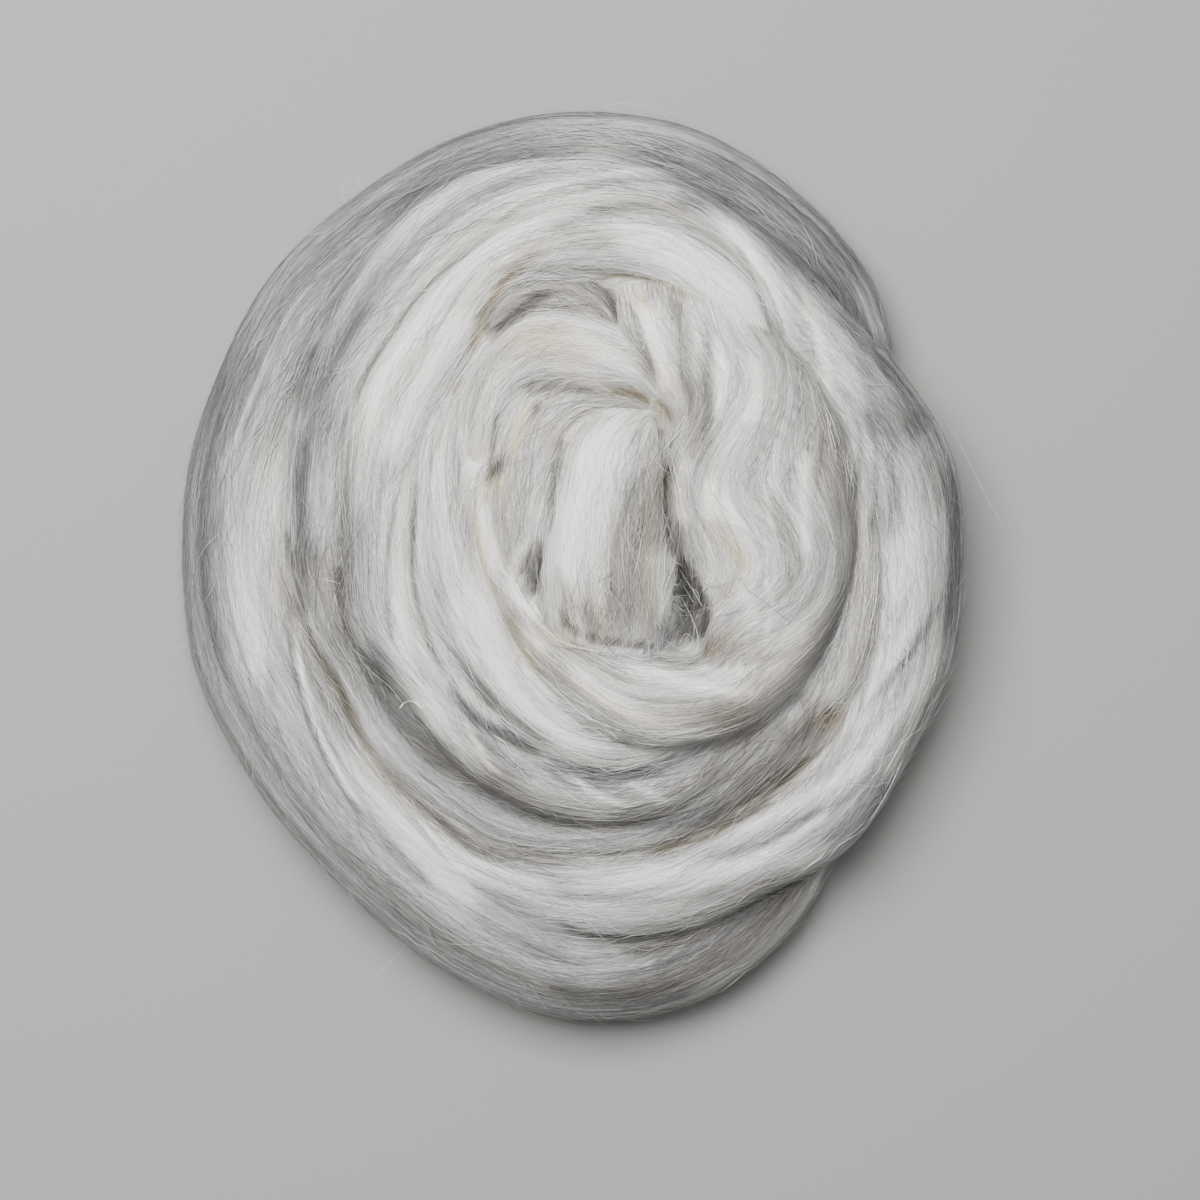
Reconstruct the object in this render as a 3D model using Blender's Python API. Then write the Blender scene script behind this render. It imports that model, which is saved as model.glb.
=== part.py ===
"""A nest of combed wool top (roving), wound flat into about four turns.

One long soft rope of combed fibre lies on a table as a wound nest. The outer
turn lies on the table all the way round, a second turn rides on it and dips
down towards the middle, a third turn crowns the nest, and the inner end is
folded into lobes that fill the centre. Everything is one solid, because the
real thing is one piece: the turns are swept separately and then felted into
one body, and a cut at table height gives the nest the flat undersides on which
it rests.

Lengths in the tables are millimetres. The origin is at the middle of the
nest's outline, at table height, with +Z up.
"""

import math
from collections import namedtuple

import bmesh
import bpy
from mathutils import Vector

MM = 0.001

# Driving sizes of the rope, in millimetres
STEP_ALONG = 6.0         # distance between two rings of a swept turn
RIDGE_HEIGHT = 1.8       # how far the gathered strands stand out of a turn
TWIST_LENGTH = 620.0     # length of rope in which the strands turn once round it
BELOW_TABLE = 2.0        # how far the lowest turns are pressed flat by the table
SQUARENESS = 2.3         # 2 is an ellipse, more is fuller at the shoulders
END_ROUNDING = 3         # rings over which the end of a turn rounds off
POINTS_PER_STRAND = 4    # points round the rope for each gathered strand

# A turn that winds round the nest, one row for each bearing. Outer and inner
# are its two edges, from the nest's centre; crown is its highest point, and
# thick is how deep the rope is there.
Bearing = namedtuple("Bearing", "degrees outer inner crown thick")

# A lobe folded inside the nest, one row for each section. x and y are its
# middle, wide is its width across its run, crown and thick are as above.
Section = namedtuple("Section", "x y wide crown thick")

RIM = [
    Bearing(20, 104, 78, 22, 22),
    Bearing(32, 118, 88, 25, 27),
    Bearing(45, 130, 98, 28, 30),
    Bearing(60, 136, 104, 30, 32),
    Bearing(75, 141, 108, 31, 33),
    Bearing(90, 141, 107, 32, 34),
    Bearing(105, 138, 104, 33, 35),
    Bearing(120, 133, 98, 34, 36),
    Bearing(135, 130, 95, 34, 36),
    Bearing(150, 125, 90, 35, 37),
    Bearing(165, 123, 88, 36, 38),
    Bearing(180, 121, 87, 37, 39),
    Bearing(195, 121, 83, 39, 41),
    Bearing(210, 119, 82, 41, 43),
    Bearing(225, 120, 85, 42, 44),
    Bearing(240, 124, 88, 43, 45),
    Bearing(255, 133, 96, 41, 43),
    Bearing(270, 141, 106, 36, 38),
    Bearing(285, 142, 105, 29, 31),
    Bearing(300, 134, 98, 25, 27),
    Bearing(315, 119, 86, 23, 25),
    Bearing(330, 114, 82, 23, 25),
    Bearing(345, 114, 80, 24, 26),
    Bearing(360, 114, 80, 24, 26),
    Bearing(375, 112, 78, 24, 26),
    Bearing(387, 104, 74, 22, 22),
]

SECOND_TURN = [
    Bearing(238, 110, 92, 28, 18),
    Bearing(255, 113, 92, 34, 26),
    Bearing(270, 115, 91, 38, 30),
    Bearing(285, 118, 92, 41, 32),
    Bearing(300, 117, 90, 42, 32),
    Bearing(315, 121, 92, 43, 31),
    Bearing(330, 119, 93, 43, 30),
    Bearing(345, 120, 87, 44, 30),
    Bearing(360, 120, 85, 45, 31),
    Bearing(375, 121, 85, 46, 31),
    Bearing(390, 117, 84, 46, 31),
    Bearing(405, 114, 84, 46, 31),
    Bearing(420, 120, 94, 46, 31),
    Bearing(435, 126, 99, 46, 31),
    Bearing(450, 129, 100, 46, 31),
    Bearing(465, 127, 96, 46, 31),
    Bearing(480, 117, 86, 46, 31),
    Bearing(495, 107, 79, 45, 30),
]

SECOND_TURN_INSIDE = [
    Bearing(470, 124, 92, 44, 26),
    Bearing(480, 117, 86, 46, 31),
    Bearing(495, 107, 79, 45, 31),
    Bearing(510, 99, 72, 44, 31),
    Bearing(525, 93, 66, 43, 31),
    Bearing(540, 91, 64, 42, 31),
    Bearing(555, 86, 63, 40, 30),
    Bearing(570, 84, 60, 37, 29),
    Bearing(585, 87, 62, 35, 28),
    Bearing(600, 90, 64, 34, 28),
    Bearing(615, 95, 68, 34, 28),
    Bearing(630, 94, 71, 34, 28),
    Bearing(645, 95, 72, 34, 28),
    Bearing(660, 94, 70, 34, 28),
    Bearing(675, 95, 68, 33, 27),
    Bearing(690, 97, 70, 32, 26),
    Bearing(705, 92, 70, 29, 20),
]

CROWN_TURN = [
    Bearing(34, 90, 74, 40, 16),
    Bearing(46, 95, 77, 49, 22),
    Bearing(60, 106, 82, 55, 26),
    Bearing(75, 111, 84, 57, 29),
    Bearing(90, 108, 81, 58, 30),
    Bearing(105, 102, 78, 58, 30),
    Bearing(120, 94, 64, 58, 31),
    Bearing(135, 87, 56, 57, 31),
    Bearing(150, 78, 51, 56, 31),
    Bearing(165, 73, 48, 55, 30),
    Bearing(180, 70, 47, 54, 30),
    Bearing(195, 70, 46, 53, 30),
    Bearing(210, 66, 45, 52, 30),
    Bearing(225, 65, 46, 51, 29),
    Bearing(240, 70, 49, 50, 28),
    Bearing(255, 74, 55, 48, 27),
    Bearing(270, 78, 61, 46, 26),
    Bearing(285, 81, 65, 44, 25),
    Bearing(300, 81, 66, 42, 23),
    Bearing(314, 78, 66, 38, 18),
]

INNER_TURN = [
    Bearing(112, 76, 66, 46, 16),
    Bearing(122, 72, 58, 51, 22),
    Bearing(135, 64, 47, 55, 27),
    Bearing(150, 56, 37, 57, 30),
    Bearing(165, 52, 30, 57, 31),
    Bearing(180, 50, 26, 57, 32),
    Bearing(195, 49, 24, 56, 32),
    Bearing(210, 48, 22, 55, 32),
    Bearing(225, 49, 24, 54, 31),
    Bearing(240, 53, 28, 53, 30),
    Bearing(255, 59, 34, 52, 29),
    Bearing(270, 64, 41, 50, 28),
    Bearing(285, 68, 47, 48, 26),
    Bearing(300, 69, 51, 45, 24),
    Bearing(314, 67, 53, 41, 18),
]

HEART_TURN = [
    Section(14, 93, 26, 44, 24),
    Section(20, 82, 32, 51, 28),
    Section(31, 66, 42, 56, 30),
    Section(47, 47, 52, 60, 32),
    Section(57, 22, 54, 62, 34),
    Section(59, -2, 52, 61, 34),
    Section(53, -24, 42, 60, 33),
    Section(36, -39, 28, 59, 31),
    Section(14, -40, 22, 58, 28),
    Section(-5, -32, 17, 56, 26),
    Section(-19, -18, 13, 54, 24),
    Section(-26, -1, 10, 52, 22),
    Section(-28, 14, 7, 48, 16),
]

LEFT_LOBE = [
    Section(26, 49, 10, 52, 16),
    Section(20, 44, 22, 57, 24),
    Section(12, 33, 33, 61, 30),
    Section(9, 17, 41, 62, 32),
    Section(8, 1, 45, 61, 33),
    Section(9, -14, 43, 59, 32),
    Section(11, -27, 38, 54, 28),
    Section(13, -36, 28, 47, 20),
]

UPPER_LOBE = [
    Section(26, 50, 7, 50, 14),
    Section(18, 57, 14, 54, 20),
    Section(6, 63, 22, 57, 26),
    Section(-9, 65, 25, 58, 28),
    Section(-21, 58, 23, 57, 28),
    Section(-27, 45, 19, 55, 26),
    Section(-28, 31, 13, 51, 20),
    Section(-27, 20, 8, 45, 14),
]

SIDE_LOBE = [
    Section(14, 52, 7, 50, 14),
    Section(0, 52, 12, 53, 20),
    Section(-12, 43, 17, 55, 24),
    Section(-17, 27, 20, 55, 26),
    Section(-17, 9, 18, 53, 26),
    Section(-14, -6, 13, 50, 20),
    Section(-11, -16, 8, 46, 14),
]

BACK_FOLD = [
    Section(22, 58, 8, 48, 16),
    Section(14, 70, 14, 51, 22),
    Section(2, 80, 18, 52, 24),
    Section(-13, 79, 19, 53, 26),
    Section(-27, 69, 16, 52, 24),
    Section(-36, 54, 12, 50, 20),
    Section(-40, 40, 8, 46, 14),
]

# The turns underneath, which show only from below: a spiral that runs in from
# under the outer turn, and whose end lies across the middle
UNDER_OUTER_RADIUS = 88.0
UNDER_INNER_RADIUS = -14.0
UNDER_TURNS = 2.75
UNDER_WIDE = 31.0
UNDER_CROWN = 26.0
UNDER_ROWS = 26

# The packed middle of the nest, a flat round cake that joins all the turns
HEART_RADIUS_X = 88.0
HEART_RADIUS_Y = 96.0
HEART_BOTTOM = 9.0
HEART_TOP = 31.0
HEART_SIDES = 28

# How the turns are pressed into one soft body
FELTING = 2.2            # grid on which the turns run into each other
SOFTENINGS = 5           # times that the body is smoothed after that
FACES_KEPT = 0.11        # share of that grid's faces that the shape needs
TABLE_WIDE = 400.0
TABLE_THICK = 20.0

WOOL_COLOUR = (0.72, 0.71, 0.68, 1.0)
WOOL_ROUGHNESS = 0.75


def clear_scene():
    """Removes the startup objects."""
    for obj in list(bpy.data.objects):
        bpy.data.objects.remove(obj)


def wool_material():
    """The one finish of the whole nest."""
    material = bpy.data.materials.new("combed_wool")
    material.use_nodes = True
    shader = material.node_tree.nodes["Principled BSDF"]
    shader.inputs["Base Color"].default_value = WOOL_COLOUR
    shader.inputs["Roughness"].default_value = WOOL_ROUGHNESS
    shader.inputs["Metallic"].default_value = 0.0
    return material


def sections_from_bearings(rows):
    """Turns rows of edges on a bearing into rows of the rope's own sections.

    The two edges are measured along the bearing, and the rope crosses it at a
    slant where it spirals in, so its true width is a little less.
    """
    middles = []
    for row in rows:
        angle = math.radians(row.degrees)
        radius = (row.outer + row.inner) / 2
        middles.append(Vector((radius * math.cos(angle), radius * math.sin(angle))))
    sections = []
    last = len(rows) - 1
    for i, row in enumerate(rows):
        run = (middles[min(i + 1, last)] - middles[max(i - 1, 0)]).normalized()
        angle = math.radians(row.degrees)
        across = abs(run.x * math.sin(angle) - run.y * math.cos(angle))
        wide = (row.outer - row.inner) * across
        sections.append(Section(middles[i].x, middles[i].y, wide, row.crown, row.thick))
    return sections


def under_sections():
    """The hidden turns, which run in evenly from the outside and past the middle."""
    sections = []
    for i in range(UNDER_ROWS):
        share = i / (UNDER_ROWS - 1)
        angle = 2 * math.pi * UNDER_TURNS * share
        radius = UNDER_OUTER_RADIUS + (UNDER_INNER_RADIUS - UNDER_OUTER_RADIUS) * share
        x, y = radius * math.cos(angle), radius * math.sin(angle)
        sections.append(Section(x, y, UNDER_WIDE, UNDER_CROWN, UNDER_CROWN + BELOW_TABLE))
    return sections


def catmull_rom(before, start, end, after, t):
    """The value at share t of the smooth curve from start to end."""
    return 0.5 * (
        2 * start
        + (end - before) * t
        + (2 * before - 5 * start + 4 * end - after) * t * t
        + (3 * start - before - 3 * end + after) * t * t * t
    )


def smooth_sections(sections):
    """Reads the sections one step apart from a smooth curve through them."""
    rows = []
    last = len(sections) - 1
    for i in range(last):
        four = [sections[max(0, min(last, k))] for k in (i - 1, i, i + 1, i + 2)]
        length = math.dist(four[1][:2], four[2][:2])
        count = max(1, round(length / STEP_ALONG))
        for k in range(count):
            rows.append(Section(*(catmull_rom(*column, k / count) for column in zip(*four))))
    rows.append(sections[-1])
    return rows


def ring(bm, row, run, turned, end_share, strands):
    """One ring of points round a turn, with its gathered strands as ridges.

    The section is a superellipse. Its points turn with the rope's twist, so
    that a ridge keeps to the same points all along. An end share under one
    draws the ring in, which rounds off the end of the turn.
    """
    side = Vector((run.y, -run.x, 0))
    middle = Vector((row.x, row.y, row.crown - row.thick / 2))
    drawn_in = math.sqrt(1 - (1 - end_share) ** 2)
    sides = strands * POINTS_PER_STRAND
    verts = []
    for j in range(sides):
        angle = 2 * math.pi * j / sides + turned
        cos, sin = math.cos(angle), math.sin(angle)
        ridge = RIDGE_HEIGHT * math.cos(2 * math.pi * j / POINTS_PER_STRAND) * end_share
        out = math.copysign(abs(cos) ** (2 / SQUARENESS), cos) * row.wide / 2
        up = math.copysign(abs(sin) ** (2 / SQUARENESS), sin) * row.thick / 2
        point = middle + side * (out + cos * ridge) * drawn_in
        point.z += (up + sin * ridge) * drawn_in
        verts.append(bm.verts.new(point * MM))
    return verts


def add_turn(bm, sections, strands):
    """Adds a closed, twisted rope along the sections, with rounded ends."""
    rows = smooth_sections(sections)
    last = len(rows) - 1
    rings = []
    travelled = 0.0
    for i, row in enumerate(rows):
        before, after = rows[max(i - 1, 0)], rows[min(i + 1, last)]
        run = Vector((after.x - before.x, after.y - before.y, 0)).normalized()
        travelled += math.dist(row[:2], before[:2])
        turned = 2 * math.pi * travelled / TWIST_LENGTH
        end_share = min(1.0, (min(i, last - i) + 1) / (END_ROUNDING + 1))
        rings.append(ring(bm, row, run, turned, end_share, strands))
    for first, second in zip(rings, rings[1:]):
        for j in range(len(first)):
            bm.faces.new((first[j - 1], first[j], second[j], second[j - 1]))
    bm.faces.new(rings[0])
    bm.faces.new(reversed(rings[-1]))


def add_heart(bm):
    """Adds the packed middle, which leaves no closed hollow between the turns."""
    made = bmesh.ops.create_cone(
        bm,
        cap_ends=True,
        segments=HEART_SIDES,
        radius1=1.0,
        radius2=1.0,
        depth=1.0,
    )
    for vert in made["verts"]:
        height = HEART_BOTTOM + (HEART_TOP - HEART_BOTTOM) * (vert.co.z + 0.5)
        vert.co = Vector((vert.co.x * HEART_RADIUS_X, vert.co.y * HEART_RADIUS_Y, height)) * MM


def new_object(name, bm):
    """Makes an object of the mesh, with its faces pointing out, and links it."""
    bmesh.ops.recalc_face_normals(bm, faces=bm.faces)
    mesh = bpy.data.meshes.new(name)
    bm.to_mesh(mesh)
    bm.free()
    obj = bpy.data.objects.new(name, mesh)
    bpy.context.scene.collection.objects.link(obj)
    return obj


def table_slab():
    """The table's place. What reaches into it is pressed flat."""
    bm = bmesh.new()
    bmesh.ops.create_cube(bm, size=1.0)
    for vert in bm.verts:
        vert.co.x *= TABLE_WIDE * MM
        vert.co.y *= TABLE_WIDE * MM
        vert.co.z = 0.0 if vert.co.z > 0 else -TABLE_THICK * MM
    slab = new_object("table", bm)
    slab.hide_render = True
    slab.display_type = "WIRE"
    return slab


def roving():
    """The nest: all its turns felted into one body and cut flat underneath."""
    bm = bmesh.new()
    add_heart(bm)
    add_turn(bm, under_sections(), 4)
    for bearings, strands in ((RIM, 7), (SECOND_TURN, 6), (SECOND_TURN_INSIDE, 6)):
        add_turn(bm, sections_from_bearings(bearings), strands)
    for bearings, strands in ((CROWN_TURN, 5), (INNER_TURN, 5)):
        add_turn(bm, sections_from_bearings(bearings), strands)
    for sections, strands in ((HEART_TURN, 7), (LEFT_LOBE, 6), (UPPER_LOBE, 5)):
        add_turn(bm, sections, strands)
    for sections, strands in ((SIDE_LOBE, 4), (BACK_FOLD, 4)):
        add_turn(bm, sections, strands)
    nest = new_object("roving", bm)
    nest.data.materials.append(wool_material())

    felting = nest.modifiers.new("felting", "REMESH")
    felting.mode = "VOXEL"
    felting.voxel_size = FELTING * MM
    felting.use_smooth_shade = True

    softening = nest.modifiers.new("softening", "SMOOTH")
    softening.factor = 0.5
    softening.iterations = SOFTENINGS

    thinning = nest.modifiers.new("thinning", "DECIMATE")
    thinning.decimate_type = "COLLAPSE"
    thinning.ratio = FACES_KEPT

    flattening = nest.modifiers.new("flattening", "BOOLEAN")
    flattening.operation = "DIFFERENCE"
    flattening.solver = "EXACT"
    flattening.object = table_slab()
    return nest


clear_scene()
roving()
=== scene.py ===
"""The looks of a nest of combed wool roving: its turns, its locks and its loose hairs.

The nest is one soft rope of combed wool, wound flat. Every turn is a surface of two
parameters, the distance along the rope and the angle round it, and everything else
follows that surface: the gathered locks raise it, the fibres lie on it and the loose
hairs leave it. Lengths are millimetres until a mesh is made.
"""

import logging
import math
from dataclasses import dataclass, field
from enum import Enum
from typing import Any, NamedTuple

import bpy
import numpy as np
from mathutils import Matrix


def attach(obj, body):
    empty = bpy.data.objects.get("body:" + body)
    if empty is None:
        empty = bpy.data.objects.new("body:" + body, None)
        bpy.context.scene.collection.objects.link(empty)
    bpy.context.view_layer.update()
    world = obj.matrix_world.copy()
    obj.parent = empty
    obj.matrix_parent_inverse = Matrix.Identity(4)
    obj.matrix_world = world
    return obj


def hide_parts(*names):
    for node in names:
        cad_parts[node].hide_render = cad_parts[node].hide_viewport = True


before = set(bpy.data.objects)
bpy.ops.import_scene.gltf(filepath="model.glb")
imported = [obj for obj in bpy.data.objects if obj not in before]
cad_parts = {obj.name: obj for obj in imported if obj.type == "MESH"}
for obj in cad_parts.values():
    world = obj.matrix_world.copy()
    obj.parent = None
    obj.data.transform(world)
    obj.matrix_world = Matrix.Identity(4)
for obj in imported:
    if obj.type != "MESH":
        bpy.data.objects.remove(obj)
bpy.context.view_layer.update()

MM = 0.001
NODE = "roving"
BODY = "root"
TURN = 2 * math.pi

# The camera's place, and how wide it sees at the level of the nest's lower half.
CAMERA_X, CAMERA_Y, CAMERA_Z = 8.57, -10.75, 1000.0
VIEW_WIDE, VIEW_LEVEL = 374.0, 17.0
# The photograph's width in its own units, its units for a millimetre seen from 1 mm away,
# and its units for a millimetre at the view's level.
PHOTO_WIDE = 1200.0
PHOTO_SCALE = PHOTO_WIDE * (CAMERA_Z - VIEW_LEVEL) / VIEW_WIDE
PHOTO_PER_MM = PHOTO_SCALE / (CAMERA_Z - VIEW_LEVEL)

# How many rows are worked out at a time, so that memory stays small; the least size that
# is divided by; and how far short of a grid's end a reading stops, so that a row follows it.
BLOCK = 20000
TINY = 1e-9
SHORT = 1.001

LOG = logging.getLogger("roving")


class Bearing(NamedTuple):
    """A turn's section on a bearing from the nest's centre."""

    degrees: float
    outer: float
    inner: float
    crown: float
    thick: float


class Section(NamedTuple):
    """A lobe's section: its middle, its width, its highest point and its depth."""

    x: float
    y: float
    wide: float
    crown: float
    thick: float


class Lock(NamedTuple):
    """A gathered lock of fibres, a crease between two, or a patch of painted light or painted
    shade, that shows on a turn.

    Its path is where the photograph shows it, in the photograph's own 1200 by 1200
    units. It is `wide` millimetres across, stands `lift` millimetres proud, and is
    lighter by `tone` and yellower by `warmth`. The darker tone of a crease or a pocket
    is painted shade.
    """

    path: tuple[tuple[float, float], ...]
    wide: float
    lift: float
    tone: float
    warmth: float = 0.0


class Hair(NamedTuple):
    """A single hair that the photograph shows, along a path in the photograph's units.

    It lies on the wool, or at a height of `level` millimetres where that is higher.
    """

    path: tuple[tuple[float, float], ...]
    half_wide: float
    tone: float
    level: float = 0.0


def rows_of(kind: type, *rows: tuple[Any, ...]) -> tuple[Any, ...]:
    """Makes each row of a table a bearing, a section, a lock or a hair."""
    return tuple(kind(*row) for row in rows)


RIM = rows_of(
    Bearing,
    (20, 104, 78, 22, 22), (32, 118, 88, 25, 27), (45, 130, 98, 28, 30), (60, 136, 104, 30, 32),
    (75, 141, 108, 31, 33), (90, 141, 107, 32, 34), (105, 138, 104, 33, 35), (120, 133, 98, 34, 36),
    (135, 130, 95, 34, 36), (150, 125, 90, 35, 37), (165, 123, 88, 36, 38), (180, 121, 87, 37, 39),
    (195, 121, 83, 39, 41), (210, 119, 82, 41, 43), (225, 120, 85, 42, 44), (240, 124, 88, 43, 45),
    (255, 133, 96, 41, 43), (270, 141, 106, 36, 38), (285, 142, 105, 29, 31),
    (300, 134, 98, 25, 27), (315, 119, 86, 23, 25), (330, 114, 82, 23, 25), (345, 114, 80, 24, 26),
    (360, 114, 80, 24, 26), (375, 112, 78, 24, 26), (387, 104, 74, 22, 22),
)

SECOND_TURN = rows_of(
    Bearing,
    (222, 96, 84, 30, 16), (238, 102, 86, 36, 22), (255, 109, 89, 40, 28), (270, 115, 91, 42, 31),
    (285, 118, 92, 42, 32), (300, 117, 92, 42, 32), (315, 121, 94.5, 43, 31),
    (330, 119, 93, 43, 30), (345, 120, 87, 44, 30), (360, 120, 85, 45, 31), (375, 121, 85, 46, 31),
    (390, 117, 84, 46, 31), (405, 114, 84, 46, 31), (420, 120, 94, 46, 31), (435, 126, 99, 46, 31),
    (450, 129, 100, 46, 31), (465, 127, 96, 46, 31), (480, 117, 86, 46, 31), (495, 107, 79, 45, 31),
    (510, 99, 72, 44, 31), (525, 93, 66, 43, 31), (540, 91, 64, 42, 31), (555, 86, 63, 40, 30),
    (570, 84, 60, 37, 29), (585, 87, 62, 35, 28), (600, 90, 64, 34, 28), (615, 95, 68, 34, 28),
    (630, 94, 71, 34, 28), (645, 95, 72, 36, 30), (660, 94, 70, 38, 32), (675, 95, 68, 40, 33),
    (690, 97, 68, 41, 33), (705, 95, 69, 40, 30), (720, 90, 74, 36, 20),
)

CROWN_TURN = rows_of(
    Bearing,
    (34, 90, 74, 40, 16), (46, 95, 77, 49, 22), (60, 106, 82, 55, 26), (75, 112, 87, 57, 29),
    (90, 110, 85.5, 58, 30), (105, 104, 81, 58, 30), (120, 94, 64, 58, 31), (135, 87, 56, 57, 31),
    (150, 78, 51, 56, 31), (165, 73, 48, 55, 30), (180, 70, 47, 54, 30), (195, 70, 46, 53, 30),
    (210, 66, 45, 52, 30), (225, 65, 46, 51, 29), (240, 70, 49, 50, 28), (255, 74, 55, 48, 27),
    (270, 78, 61, 46, 26), (285, 81, 65, 44, 25), (300, 81, 66, 42, 23), (314, 78, 66, 38, 18),
)

INNER_TURN = rows_of(
    Bearing,
    (112, 76, 66, 46, 16), (122, 72, 58, 51, 22), (135, 64, 47, 55, 27), (150, 56, 37, 57, 30),
    (165, 52, 30, 57, 31), (180, 50, 26, 57, 32), (195, 49, 24, 56, 32), (210, 48, 22, 55, 32),
    (225, 49, 24, 54, 31), (240, 53, 28, 53, 30), (255, 59, 34, 52, 29), (270, 64, 41, 50, 28),
    (285, 68, 47, 48, 26), (300, 69, 51, 45, 24), (314, 67, 53, 41, 18),
)

HEART_TURN = rows_of(
    Section,
    (16, 97, 38, 46, 24), (25, 81, 48, 54, 30), (40, 62, 45, 57, 30), (51, 44, 52, 60, 32),
    (58, 22, 55, 62, 34), (60, -2, 51, 61, 34), (55.5, -22, 41, 60, 33), (44.5, -37, 29, 59, 32),
    (22, -41, 29, 58, 31), (6, -34, 24, 57, 29), (-9, -23, 19, 55, 27), (-20, -7, 14, 52, 24),
    (-26, 8, 8, 48, 16),
)

LEFT_LOBE = rows_of(
    Section,
    (26, 49, 10, 52, 16), (20.5, 44, 23, 57, 24), (13.5, 33, 36, 61, 30), (10.5, 17, 44, 62, 32),
    (8.5, 1, 46, 61, 33), (9, -14, 43, 59, 32), (11, -27, 38, 54, 28), (13, -36, 28, 47, 20),
)

UPPER_LOBE = rows_of(
    Section,
    (28, 48, 7, 54, 14), (20, 57, 15, 58, 22), (7, 63, 23, 60, 28), (-9, 65, 26, 60, 29),
    (-21, 58, 23, 57, 28), (-27, 45, 19, 55, 26), (-28, 31, 13, 51, 20), (-27, 20, 8, 45, 14),
)

SIDE_LOBE = rows_of(
    Section,
    (29, 44, 6, 50, 12), (17, 50, 11, 57, 18), (2, 51, 17, 59, 24), (-9, 43, 23, 59, 26),
    (-15, 27, 25, 58, 28), (-16, 9, 21, 55, 26), (-14, -6, 13, 50, 20), (-11, -16, 8, 46, 14),
)

BACK_FOLD = rows_of(
    Section,
    (20, 60, 8, 50, 14), (11, 71, 17, 54, 22), (0, 79, 22, 55, 26), (-14, 78, 21, 55, 27),
    (-27, 68, 17, 53, 25), (-36, 54, 12, 50, 20), (-40, 40, 8, 46, 14),
)

CREASE_FILL = rows_of(
    Section,
    (31, 46, 4, 49, 8), (28, 36, 9, 52, 15), (28, 22, 10, 51, 16), (30, 9, 9, 49, 14),
    (33, -3, 5, 43, 9),
)

RIGHT_FOLD = rows_of(
    Section,
    (80, 72, 6, 32, 10), (84, 48, 14, 43, 20), (86, 14, 18, 47, 24), (85, -10, 20, 49, 26),
    (80, -32, 20, 47, 24), (67, -52, 9, 40, 14),
)

PACKED_HEART = rows_of(
    Section,
    (36, -34, 22, 34, 22), (32, -16, 42, 38, 26), (16, 2, 60, 46, 32), (2, 22, 62, 47, 32),
    (2, 44, 56, 47, 30), (14, 60, 34, 44, 26),
)

SIDE_STRAND = rows_of(
    Section,
    (-17, 38, 7, 50, 12), (-22, 31, 9, 52, 15), (-25, 22, 11, 53, 17), (-25, 11, 11, 53, 17),
    (-22, 0, 11, 52, 16), (-16, -10, 9, 50, 14), (-9, -17, 7, 47, 12),
)

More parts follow.
